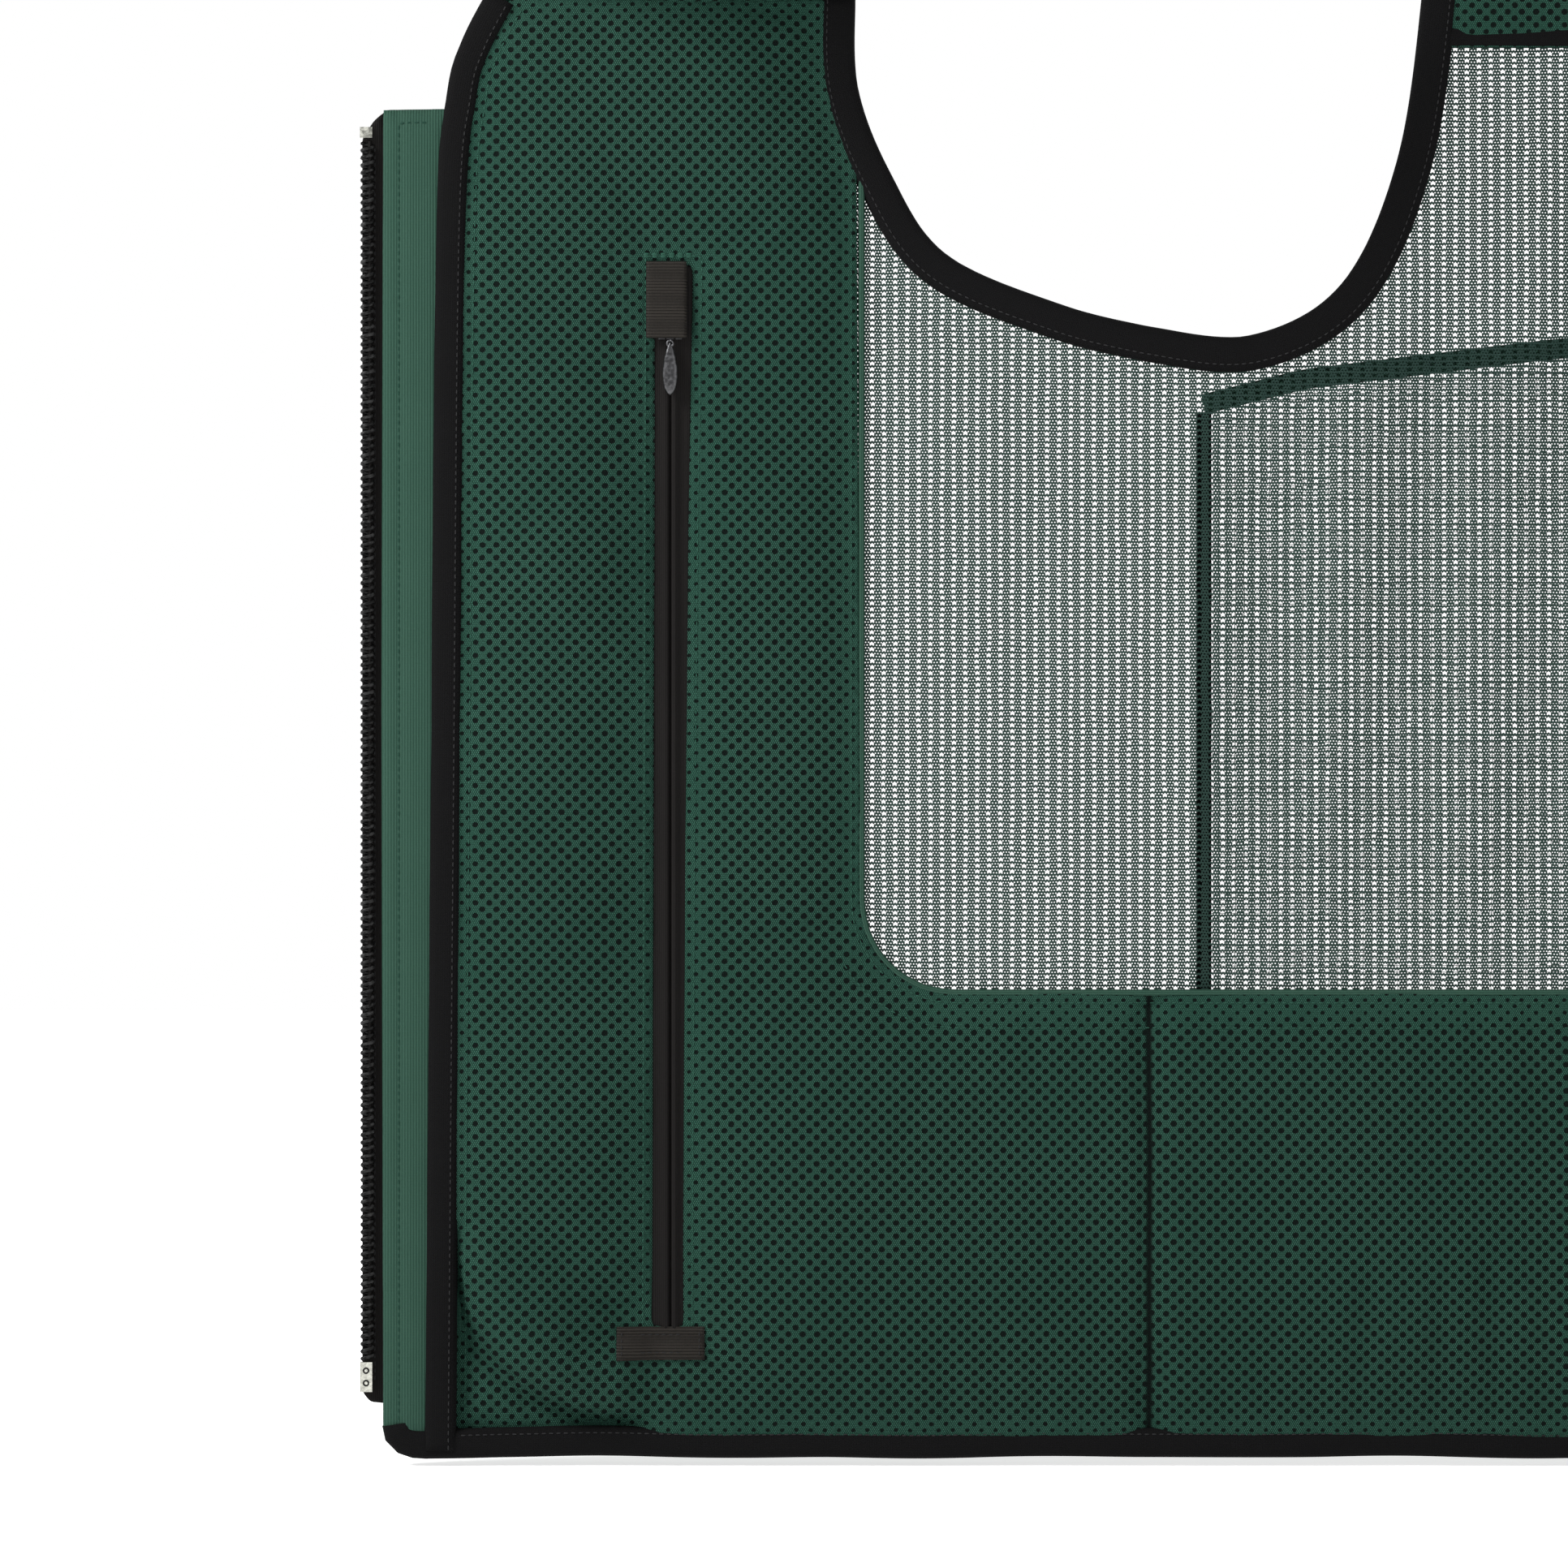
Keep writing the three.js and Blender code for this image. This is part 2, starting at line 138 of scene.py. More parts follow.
def window_corner(grow=0.0):
    """The round corner of the window, from its upright edge to its sill."""
    radius = WINDOW_CORNER + grow
    turn = np.linspace(0, math.pi / 2, 10)
    centre = (WINDOW_EDGE - WINDOW_CORNER, WINDOW_SILL + WINDOW_CORNER)
    return np.stack([centre[0] + radius * np.cos(turn), centre[1] - radius * np.sin(turn)], 1)


def lining_outline():
    """Front, round under the window, to the centre back."""
    front = offset(edging, 3.0)
    arm = offset(armhole, BINDING - 3)
    arm = arm[(arm[:, 0] > WINDOW_EDGE) & (arm[:, 1] < TOP)]
    return np.concatenate([front, [(front[-1, 0] - 1, TOP), (arm[0, 0], TOP)], arm, window_corner(),
                           [(0, WINDOW_SILL), (0, HEM - 4), (front[0, 0], HEM - 4)]])


def net_outline():
    arm = offset(armhole, 5)
    arm = arm[(arm[:, 0] < WINDOW_EDGE + 4) & (arm[:, 1] < YOKE_SEAM + 3)]
    low = window_corner(4.0)
    return np.concatenate([arm, [(0, YOKE_SEAM + 3), (0, WINDOW_SILL - 4)], low[::-1]])


# ---------------------------------------------------------------- mesh helpers

def place(u, y, z, side=1):
    return Vector((side * u * MM, y * MM, z * MM))


def build(name, vertices, faces, uvs=None):
    """A mesh object from metres. uvs holds one (u, v) in metres for each vertex."""
    mesh = bpy.data.meshes.new(name)
    mesh.from_pydata([tuple(v) for v in vertices], [], [tuple(int(i) for i in f) for f in faces])
    if uvs is not None:
        layer = mesh.uv_layers.new(name="UVMap")
        index = np.zeros(len(mesh.loops), int)
        mesh.loops.foreach_get("vertex_index", index)
        layer.data.foreach_set("uv", np.asarray(uvs, np.float32)[index].ravel())
    mesh.shade_smooth()
    mesh.update()
    piece = bpy.data.objects.new(name, mesh)
    bpy.context.scene.collection.objects.link(piece)
    return piece


def grid_faces(rows, columns, flip):
    """Quads over a grid of vertices that were added row after row."""
    faces = []
    for r in range(rows - 1):
        for c in range(columns - 1):
            a = r * columns + c
            face = (a, a + 1, a + 1 + columns, a + columns)
            faces.append(face[::-1] if flip else face)
    return faces


def tube_faces(rings, count):
    """Quads round a body made of rings of vertices, and a face over each end."""
    faces = []
    for r in range(rings - 1):
        for j in range(count):
            a = r * count + j
            b = r * count + (j + 1) % count
            faces.append((a, b, b + count, a + count))
    faces.append(tuple(range(count))[::-1])
    faces.append(tuple(range((rings - 1) * count, rings * count)))
    return faces


def inside(points, outline):
    """Which points an outline holds."""
    result = np.zeros(len(points), bool)
    ahead = np.roll(outline, -1, axis=0)
    for (u0, z0), (u1, z1) in zip(outline, ahead):
        crosses = (z0 > points[:, 1]) != (z1 > points[:, 1])
        reach = (u1 - u0) * (points[:, 1] - z0) / ((z1 - z0) or 1e-9) + u0
        result ^= crosses & (points[:, 0] < reach)
    return result


def distance(points, line):
    """How far each point lies from a closed line."""
    best = np.full(len(points), 1e9)
    for a, b in zip(line, np.roll(line, -1, axis=0)):
        d = b - a
        t = np.clip(((points - a) @ d) / max(d @ d, 1e-9), 0, 1)
        best = np.minimum(best, np.linalg.norm(points - (a + t[:, None] * d), axis=1))
    return best


def sheet(name, outline, step, depth, side, hole=None, outward=False):
    """A cloth sheet that fills an outline. depth(points) gives each point's Y."""
    edge = resample(np.concatenate([outline, outline[:1]]), step)[:-1]
    low, high = outline.min(0), outline.max(0)
    rows = np.arange(low[1], high[1], step * 0.87)
    columns = np.arange(low[0], high[0], step)
    grid = np.array([(u + (step / 2) * (i % 2), z) for i, z in enumerate(rows) for u in columns])
    grid = grid[inside(grid, edge) & (distance(grid, edge) > step * 0.55)]
    loops = [edge]
    if hole is not None:
        rim = resample(np.concatenate([hole, hole[:1]]), step)[:-1]
        grid = grid[~inside(grid, rim) & (distance(grid, rim) > step * 0.55)]
        loops.append(rim)
    points = np.concatenate(loops + [grid])
    edges = []
    start = 0
    for loop in loops:
        edges += [(start + i, start + (i + 1) % len(loop)) for i in range(len(loop))]
        start += len(loop)
    found = delaunay_2d_cdt([Vector(p) for p in points], edges, [], 1, 1e-6)
    flat = np.array([tuple(v) for v in found[0]])
    faces = np.array([f for f in found[2]])
    centres = flat[faces].mean(1)
    keep = inside(centres, edge)
    if hole is not None:
        keep &= ~inside(centres, rim)
    faces = faces[keep]
    y = depth(flat)
    vertices = [place(u, yy, z, side) for (u, z), yy in zip(flat, y)]
    if (side < 0) != outward:
        faces = faces[:, ::-1]
    piece = build(name, vertices, faces, flat * MM)
    return piece, flat


def add_attribute(piece, name, values):
    attribute = piece.data.attributes.new(name, "FLOAT", "POINT")
    attribute.data.foreach_set("value", np.asarray(values, np.float32))


def thicken(piece, thickness, levels=1):
    """Smooths a sheet and gives it a thickness, half to each side."""
    if levels:
        smooth = piece.modifiers.new("smooth", "SUBSURF")
        smooth.levels = levels
        smooth.render_levels = levels
        smooth.boundary_smooth = "PRESERVE_CORNERS"
        smooth.use_limit_surface = False
    solid = piece.modifiers.new("thickness", "SOLIDIFY")
    solid.thickness = thickness * MM
    solid.offset = 0.0


def sweep(name, stations, section):
    """A closed body along stations of (point, across, out), with a section of (across, out) offsets."""
    count = len(section)
    vertices, uvs = [], []
    travelled = 0.0
    sides = [math.dist(section[i], section[i - 1]) for i in range(1, count)]
    around = np.concatenate([[0], np.cumsum(sides)])
    for k, (point, across, out) in enumerate(stations):
        if k:
            travelled += (point - stations[k - 1][0]).length
        for j, (a, b) in enumerate(section):
            vertices.append(point + across * (a * MM) + out * (b * MM))
            uvs.append((around[j] * MM, travelled))
    piece = build(name, vertices, tube_faces(len(stations), count), uvs)
    orient(piece)
    return piece


def orient(piece):
    """Turns a closed body's faces outwards."""
    volume = 0.0
    for p in piece.data.polygons:
        first = piece.data.vertices[p.vertices[0]].co
        for i in range(1, len(p.vertices) - 1):
            second = piece.data.vertices[p.vertices[i]].co
            third = piece.data.vertices[p.vertices[i + 1]].co
            volume += first.dot(second.cross(third))
    if volume < 0:
        piece.data.flip_normals()


def flat_stations(line, depth, side, step=4.0):
    """Stations along a (u, z) line in the plane of the vest. out is towards the inside face, -Y."""
    line = resample(line, step)
    along = np.gradient(line, axis=0)
    along /= np.linalg.norm(along, axis=1)[:, None]
    wander = [0.5 * noise.noise(Vector((u * 0.03, z * 0.03, 4.2))) for u, z in line]
    result = []
    for (u, z), (du, dz), shake in zip(line, along, wander):
        result.append((place(u, depth + shake, z, side), Vector((-dz * side, 0, du)), Vector((0, -1, 0))))
    return result


def pillow(width, thick, points=14, power=0.55):
    """A rounded, flattened section."""
    section = []
    for i in range(points):
        turn = 2 * math.pi * i / points
        c, s = math.cos(turn), math.sin(turn)
        section.append((
            width / 2 * math.copysign(abs(c) ** power, c),
            thick / 2 * math.copysign(abs(s) ** 0.8, s),
        ))
    return section


def tube(radius, points=8):
    return [(radius * math.cos(2 * math.pi * i / points), radius * math.sin(2 * math.pi * i / points))
            for i in range(points)]


def framed(points):
    """Stations for a free line in space, in metres."""
    result = []
    up = Vector((0, -1, 0))
    for i, p in enumerate(points):
        along = (points[min(i + 1, len(points) - 1)] - points[max(i - 1, 0)]).normalized()
        across = along.cross(up)
        if across.length < 1e-4:
            across = along.cross(Vector((1, 0, 0)))
        across.normalize()
        up = across.cross(along).normalized()
        result.append((p, across, up))
    return result


def stitches(name, runs, radius, length, pitch):
    """Sewn thread: one small spindle for each stitch along runs of points in metres."""
    vertices, faces = [], []
    for run in runs:
        points = resample(np.array([tuple(p) for p in run]) / MM, pitch) * MM
        for a, b in zip(points[:-1], points[1:]):
            middle = Vector((a + b) / 2)
            along = Vector(b - a).normalized()
            across = along.cross(Vector((0, 1, 0)))
            across = across.normalized() if across.length > 0.1 else Vector((0, 0, 1))
            out = across.cross(along)
            base = len(vertices)
            half = along * (length / 2 * MM)
            vertices += [middle - half, middle + half]
            for i in range(5):
                turn = 2 * math.pi * i / 5
                ring = (across * math.cos(turn) + out * math.sin(turn)) * (radius * MM)
                vertices += [middle + ring - half * 0.55, middle + ring + half * 0.55]
            for i in range(5):
                j = (i + 1) % 5
                low, low2 = base + 2 + 2 * i, base + 2 + 2 * j
                high, high2 = low + 1, low2 + 1
                faces += [(base, low2, low), (low, low2, high2, high), (high, high2, base + 1)]
    return build(name, vertices, faces)


# ---------------------------------------------------------------- cloth simulation

def drape(piece, pinned, slack, cap, push=-3.0):
    """Lets a sheet with a little slack billow between its seams, then keeps the result."""
    scene = bpy.context.scene
    gravity = tuple(scene.gravity)
    scene.gravity = (0, push, 0)
    start = np.array([v.co for v in piece.data.vertices])
    group = piece.vertex_groups.new(name="seams")
    group.add([int(i) for i in np.flatnonzero(pinned)], 1.0, "REPLACE")
    cloth = piece.modifiers.new("drape", "CLOTH")
    settings = cloth.settings
    settings.quality = 5
    settings.mass = 0.2
    settings.tension_stiffness = 15
    settings.compression_stiffness = 15
    settings.shear_stiffness = 8
    settings.bending_stiffness = 0.9
    settings.vertex_group_mass = "seams"
    settings.shrink_min = -slack
    cloth.collision_settings.use_collision = False
    cloth.collision_settings.use_self_collision = False
    for k in range(1, DRAPE_FRAMES + 1):
        scene.frame_set(k)
    shape = piece.evaluated_get(bpy.context.evaluated_depsgraph_get()).data
    moved = np.array([v.co for v in shape.vertices])
    piece.modifiers.remove(cloth)
    scene.frame_set(1)
    shift = moved - start
    far = np.linalg.norm(shift, axis=1)
    shift *= (np.minimum(far, cap * MM) / np.maximum(far, 1e-9))[:, None]
    piece.data.vertices.foreach_set("co", (start + shift).astype(np.float32).ravel())
    piece.vertex_groups.remove(group)
    piece.data.update()
    scene.gravity = gravity


# ---------------------------------------------------------------- materials

class Shader:
    """A node material built up from small expressions."""

    def __init__(self, name):
        self.material = bpy.data.materials.new(name)
        self.material.use_nodes = True
        self.nodes = self.material.node_tree.nodes
        self.links = self.material.node_tree.links
        self.surface = self.nodes["Principled BSDF"]
        uv = self.nodes.new("ShaderNodeUVMap")
        scaled = self.nodes.new("ShaderNodeVectorMath")
        scaled.operation = "SCALE"
        scaled.inputs["Scale"].default_value = 1 / MM
        self.links.new(uv.outputs[0], scaled.inputs[0])
        self.flat = scaled.outputs[0]
        split = self.nodes.new("ShaderNodeSeparateXYZ")
        self.links.new(self.flat, split.inputs[0])
        self.x, self.y = split.outputs[0], split.outputs[1]

    def math(self, operation, *values):
        node = self.nodes.new("ShaderNodeMath")
        node.operation = operation
        for i, value in enumerate(values):
            if isinstance(value, (int, float)):
                node.inputs[i].default_value = value
            else:
                self.links.new(value, node.inputs[i])
        return node.outputs[0]

    def add(self, a, b):
        return self.math("ADD", a, b)

    def times(self, a, b):
        return self.math("MULTIPLY", a, b)

    def ramp(self, value, low, high):
        """0 below low, 1 above high."""
        node = self.nodes.new("ShaderNodeMapRange")
        node.interpolation_type = "SMOOTHSTEP"
        self.links.new(value, node.inputs["Value"])
        for key, number in (("From Min", low), ("From Max", high)):
            if isinstance(number, (int, float)):
                node.inputs[key].default_value = number
            else:
                self.links.new(number, node.inputs[key])
        return node.outputs["Result"]

    def noise(self, scale, detail=3.0, stretch=(1, 1, 1)):
        """Noise whose features are about 1 / scale millimetres."""
        node = self.nodes.new("ShaderNodeTexNoise")
        node.inputs["Scale"].default_value = scale
        node.inputs["Detail"].default_value = detail
        mapping = self.nodes.new("ShaderNodeMapping")
        mapping.inputs["Scale"].default_value = stretch
        self.links.new(self.flat, mapping.inputs[0])
        self.links.new(mapping.outputs[0], node.inputs["Vector"])
        return node.outputs["Fac"]

    def rub(self, scale, detail=2.0):
        """Fine noise fixed to the object, for metal and moulded parts."""
        node = self.nodes.new("ShaderNodeTexNoise")
        node.inputs["Scale"].default_value = scale
        node.inputs["Detail"].default_value = detail
        corner = self.nodes.new("ShaderNodeTexCoord")
        self.links.new(corner.outputs["Object"], node.inputs["Vector"])
        return node.outputs["Fac"]

    def wave(self, value, period, phase=0.0):
        """A smooth ripple from 0 to 1."""
        turned = self.add(self.times(value, 2 * math.pi / period), phase)
        return self.add(self.times(self.math("SINE", turned), 0.5), 0.5)

    def attribute(self, name):
        node = self.nodes.new("ShaderNodeAttribute")
        node.attribute_name = name
        return node.outputs["Fac"]

    def mix(self, share, a, b):
        node = self.nodes.new("ShaderNodeMix")
        node.data_type = "RGBA"
        for socket, value in ((node.inputs[0], share), (node.inputs[6], a), (node.inputs[7], b)):
            if isinstance(value, (int, float)):
                socket.default_value = value
            elif isinstance(value, tuple):
                socket.default_value = (*value, 1)
            else:
                self.links.new(value, socket)
        return node.outputs[2]

    def finish(self, color, roughness, height=None, depth=0.5, alpha=None, metal=0.0, sheen=0.0):
        """depth is the bump's height in millimetres."""
        for key, value in (("Base Color", color), ("Roughness", roughness), ("Alpha", alpha)):
            if value is None:
                continue
            if isinstance(value, tuple):
                self.surface.inputs[key].default_value = (*value, 1)
            elif isinstance(value, (int, float)):
                self.surface.inputs[key].default_value = value
            else:
                self.links.new(value, self.surface.inputs[key])
        self.surface.inputs["Metallic"].default_value = metal
        self.surface.inputs["Sheen Weight"].default_value = sheen
        self.surface.inputs["Sheen Roughness"].default_value = 0.4
        self.surface.inputs["Specular IOR Level"].default_value = 0.12 if metal == 0 else 0.5
        if height is not None:
            bump = self.nodes.new("ShaderNodeBump")
            bump.inputs["Strength"].default_value = 1.0
            bump.inputs["Distance"].default_value = depth * MM
            self.links.new(height, bump.inputs["Height"])
            self.links.new(bump.outputs[0], self.surface.inputs["Normal"])
        return self.material


def oval_lattice(s, x, y, wide, tall, half_wide, half_tall, stagger):
    """Distance from the nearest oval in rows of them, 1 on its edge. stagger shifts each row, in cells."""
    up = s.math("DIVIDE", y, tall)
    shift = s.times(s.math("FLOOR", up), stagger)
    across = s.add(s.math("FRACT", s.add(s.math("DIVIDE", x, wide), shift)), -0.5)
    rise = s.add(s.math("FRACT", up), -0.5)
    a = s.math("POWER", s.times(s.math("ABSOLUTE", across), wide / half_wide), 2)
    b = s.math("POWER", s.times(s.math("ABSOLUTE", rise), tall / half_tall), 2)
    return s.math("SQRT", s.add(a, b))


def air_mesh():
    """Knitted spacer mesh: staggered deep holes between ridges of fine green yarn. The holes are painted
    near-black as painted shade, and a thin line of painted shadow runs along the side seam.
    """
    s = Shader("air_mesh")
    pressed = s.attribute("pressed")
    wobble = s.add(s.noise(0.35, 2.0), -0.5)
    reach = s.add(oval_lattice(s, s.x, s.y, 5.6, 2.56, 1.3, 1.2, 0.5), s.times(wobble, 0.4))
    reach = s.add(reach, s.times(pressed, 0.34))
    # Painted shadow: at the side seam the yarn mask drops to 0, so the seam gets the holes' near-black colour
    # as well as a groove in the bump.
    seam = s.ramp(s.math("ABSOLUTE", s.add(s.x, -FOLD)), 0.4, 1.9)
    rim = s.times(s.ramp(reach, 0.72, 1.04), seam)
    rising = s.wave(s.add(s.x, s.times(s.y, 0.55)), 0.82)
    falling = s.wave(s.add(s.x, s.times(s.y, -0.55)), 0.82)
    yarn = s.times(rising, falling)
    fuzz = s.noise(2.2, 4.0)
    patch = s.noise(0.012, 2.0)
    strand = s.mix(s.ramp(s.add(s.times(yarn, 0.7), s.times(fuzz, 0.5)), 0.2, 1.0),
                   (0.006, 0.027, 0.018), (0.052, 0.150, 0.108))
    strand = s.mix(s.ramp(patch, 0.35, 0.7), strand, s.mix(0.35, strand, (0.008, 0.040, 0.027)))
    # Painted shade: the holes, and the seam line, get a near-black colour that stands in for the shade inside
    # them.
    color = s.mix(rim, (0.0008, 0.0035, 0.0026), strand)
    height = s.add(s.times(rim, 1.0), s.times(yarn, 0.2))
    return s.finish(color, 0.88, height, 1.2)


def open_net():
    """See-through knitted net: upright rows of ovals with a lattice of pinholes between them."""
    s = Shader("open_net")
    x = s.add(s.x, s.times(s.add(s.noise(0.1, 2.0), -0.5), 1.6))
    y = s.add(s.y, s.times(s.add(s.noise(0.08, 1.0), -0.5), 1.2))
    big = s.ramp(oval_lattice(s, x, y, 4.6, 2.3, 0.98, 0.62, 0.0), 0.82, 1.06)
    small = s.ramp(oval_lattice(s, x, y, 1.15, 1.15, 0.31, 0.29, 0.5), 0.8, 1.15)
    thread = s.times(big, small)
    fibre = s.noise(3.0, 3.0)
    color = s.mix(fibre, (0.004, 0.013, 0.01), (0.032, 0.066, 0.055))
    return s.finish(color, 0.85, s.add(fibre, thread), 0.3, alpha=thread)


def sheer_net():
    """A very open green net, little more than its threads."""
    s = Shader("sheer_net")
    x = s.add(s.x, s.times(s.add(s.noise(0.06, 1.0), -0.5), 2.0))

    def from_thread(value, pitch):
        place = s.add(s.math("FRACT", s.math("DIVIDE", value, pitch)), -0.5)
        return s.times(s.math("ABSOLUTE", place), pitch)

    gap = s.ramp(s.math("MINIMUM", from_thread(x, 3.4), from_thread(s.y, 2.6)), 0.05, 0.16)
    fibre = s.noise(3.0, 3.0)
    color = s.mix(fibre, (0.01, 0.045, 0.032), (0.04, 0.13, 0.095))
    return s.finish(color, 0.85, fibre, 0.1, alpha=s.add(1.0, s.times(gap, -1.0)))


def plain_weave(name, dark, light, pitch=0.7):
    """A plain woven cloth, over one thread and under the next."""
    s = Shader(name)
    over = s.times(s.wave(s.x, pitch), s.wave(s.y, pitch * 2))
    under = s.times(s.wave(s.y, pitch), s.wave(s.x, pitch * 2, math.pi))
    check = s.math("MAXIMUM", over, under)
    cloud = s.noise(0.02, 3.0)
    worn = s.noise(0.4, 5.0)
    color = s.mix(s.add(s.times(check, 0.6), s.times(worn, 0.4)), dark, light)
    color = s.mix(s.times(s.ramp(cloud, 0.4, 0.7), 0.35), color, dark)
    return s.finish(color, 0.85, s.add(check, s.times(worn, 0.3)), 0.18, sheen=0.03)


def ribbed(name, dark, light, period, depth, along=False):
    """Ribbed tape: ridges side by side, with fine threads across them."""
    s = Shader(name)
    rib = s.wave(s.y if along else s.x, period)
    cross = s.wave(s.x if along else s.y, 0.45)
    grain = s.noise(1.4, 4.0)
    cloud = s.noise(0.03, 2.0)
    tone = s.add(s.times(rib, 0.45), s.add(s.times(grain, 0.4), s.times(cross, 0.15)))
    color = s.mix(tone, dark, light)
    color = s.mix(s.times(cloud, 0.3), color, dark)
    return s.finish(color, 0.8, s.add(rib, s.times(cross, 0.2)), depth)


def felted(name, dark, light):
    """Folded knit binding: matt, with short fibres and a faint rib."""
    s = Shader(name)
    grain = s.noise(2.4, 6.0)
    rib = s.times(s.wave(s.x, 0.9), s.wave(s.y, 0.7))
    cloud = s.noise(0.05, 2.0)
    color = s.mix(s.add(s.times(grain, 0.7), s.times(rib, 0.25)), dark, light)
    color = s.mix(s.times(cloud, 0.35), color, light)
    return s.finish(color, 0.92, s.add(grain, s.times(rib, 0.5)), 0.22)


def metal(name, color, rough):
    """Cast and plated metal with rubbed, slightly uneven faces."""
    s = Shader(name)
    rub = s.rub(700, 4)
    worn = s.ramp(rub, 0.35, 0.7)
    shade = s.mix(worn, tuple(c * 0.55 for c in color), color)
    return s.finish(shade, s.add(s.times(worn, 0.18), rough), rub, 0.03, metal=0.95)


def moulded(name, dark, light):
    """Moulded nylon with a soft gloss and rubbed high spots."""
    s = Shader(name)
    rub = s.rub(450)
    color = s.mix(s.ramp(rub, 0.4, 0.7), dark, light)
    return s.finish(color, s.add(s.times(rub, 0.2), 0.25), rub, 0.04)


# A look is a material and the name of a slot for it
AIR_MESH = (air_mesh(), "spacer_mesh")
NET = (open_net(), "window_mesh")
SHEER = (sheer_net(), "window_mesh")
WOVEN = (plain_weave("woven_shell", (0.006, 0.026, 0.018), (0.028, 0.088, 0.062)), "woven_shell")
FACING = (ribbed("facing_rib", (0.010, 0.036, 0.024), (0.042, 0.098, 0.070), 1.1, 0.14), "facing")
BLACK = (felted("binding_knit", (0.001, 0.001, 0.0011), (0.0056, 0.0054, 0.0058)), "binding")
TAPE = (ribbed("zip_tape_weave", (0.0024, 0.0021, 0.002), (0.0135, 0.0118, 0.0112), 0.8, 0.1), "zip_tape")
GROSGRAIN = (ribbed("grosgrain", (0.005, 0.0045, 0.004), (0.04, 0.035, 0.03), 1.15, 0.3, True), "grosgrain")
THREAD = (plain_weave("green_thread", (0.012, 0.05, 0.034), (0.045, 0.13, 0.092), 0.3), "facing")
FACING_THREAD = (plain_weave("facing_thread", (0.006, 0.03, 0.02), (0.022, 0.075, 0.052), 0.3), "facing")
DARK_THREAD = (plain_weave("black_thread", (0.01, 0.01, 0.01), (0.05, 0.05, 0.052), 0.3), "binding")
NYLON = (moulded("coil_nylon", (0.004, 0.004, 0.004), (0.03, 0.03, 0.03)), "zip_coil")
BRIGHT = (metal("bright_zinc", (0.76, 0.76, 0.68), 0.22), "bright_metal")
GUNMETAL = (metal("dark_plating", (0.11, 0.11, 0.115), 0.28), "gunmetal")
TAPE_THREAD = (DARK_THREAD[0], "zip_tape")
BAR_THREAD = (DARK_THREAD[0], "grosgrain")
BAG_CLOTH = (WOVEN[0], "window_mesh")
RING_WEBBING = (GROSGRAIN[0], "binding")


def dress(piece, look):
    material, slot = look
    piece.data.materials.clear()
    piece.data.materials.append(material)


# ---------------------------------------------------------------- how pieces follow the frame

def bend_at_seam(piece):
    """Bakes the piece's placement into its mesh."""
    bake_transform(piece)


def fit(piece, look, follows, *stands_for):
    """Dresses a piece. It rides on a body, or has its placement baked into its mesh where follows is a side's
    name.
    """
    dress(piece, look)
    if follows in SIDES:
        bend_at_seam(piece)
    else:
        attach(piece, follows)
    if stands_for:
        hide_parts(*stands_for)
    return piece


# ---------------------------------------------------------------- panels

def soft_noise(points, scale, seed):
    return np.array([noise.noise(Vector((u * scale, z * scale, seed))) for u, z in points])


def lining_depth(points):
    """The inside face: padded between seams, with a crease round the pocket bag's lower corner."""
    edge = distance(points, lining_outline())
    slot = distance(points, slot_outline())
    near = np.minimum(np.maximum(edge - 5, 0), slot)
    swell = 6.0 * (1 - np.exp(-near / 17))
    beyond_bar = np.abs(points - np.array((POCKET_ZIP + 3, 46))) - np.array((18, 12))
    from_bar = np.linalg.norm(np.maximum(beyond_bar, 0), axis=1)
    swell *= np.clip(from_bar / 22, 0.15, 1)
    drift = 6.5 * soft_noise(points, 0.010, 3.1) + 2.6 * soft_noise(points, 0.024, 8.4)
    drift *= np.clip(near / 30, 0, 1) * np.clip(from_bar / 22, 0, 1)
    arm = points - np.array((521.0, 80.0))
    reach = np.linalg.norm(arm, axis=1)
    corner = np.clip((arm[:, 0] + 14) / 14, 0, 1) * np.clip((14 - arm[:, 1]) / 14, 0, 1)
    puff = corner * 6.5 * np.exp(-((reach - 50) / 10) ** 2)
    crease = corner * 3.8 * np.exp(-((reach - 65) / 4.0) ** 2)
    outside = corner * 5.2 * np.clip((reach - 60) / 6, 0, 1)
    side_seam = 3.0 * np.exp(-((points[:, 0] - FOLD) / 5.0) ** 2) * (points[:, 1] < WINDOW_SILL - 3)
    return LINING_Y - swell - drift - puff + crease + outside + side_seam


def slot_outline(grow=0.0):
    """The pocket opening, wider at its top end where the tab lies."""
    low, high = POCKET_LOW - grow, POCKET_HIGH + grow
    left, right = POCKET_ZIP - grow, POCKET_ZIP + grow
    return np.array([(left - 5.2, low), (right + 7.4, low), (right + 6.2, high), (left - 9.2, high),
                     (left - 7.6, 380), (left - 6.2, 240)])


def inner_lining(name, side):
    outline = lining_outline()
    piece, flat = sheet(f"{name}_air_mesh_lining", outline, 4.4, lining_depth, side, slot_outline())
    near = np.minimum(distance(flat, outline), distance(flat, slot_outline()))
    drape(piece, near < 5, 0.005, 4.0)
    under_window = np.clip(1 - np.abs(flat[:, 1] - (WINDOW_SILL - 7)) / 7, 0, 1) * (flat[:, 0] < 400)
    pressed = np.maximum(np.clip(1.25 - near / 9, 0, 1), under_window)
    pressed = np.maximum(pressed, np.clip(1 - distance(flat, slot_outline()) / 16, 0, 1) * 0.75)
    add_attribute(piece, "pressed", pressed)
    thicken(piece, 1.6)
    fit(piece, AIR_MESH, name, f"{name}_front_lining", "back_waist_lining")
    return piece


def outer_shell(name, side):
    outline = lining_outline()

    def depth(points):
        near = np.minimum(distance(points, outline), 40)
        return SHELL_Y + 0.03 * near * soft_noise(points, 0.02, 5.5 + side)

    piece, flat = sheet(f"{name}_outer_shell", outline, 9.0, depth, side)
    drape(piece, distance(flat, outline) < 6, 0.003, 2.0, push=1.5)
    thicken(piece, 0.8)
    fit(piece, WOVEN, name, f"{name}_front_shell", "back_waist_shell")


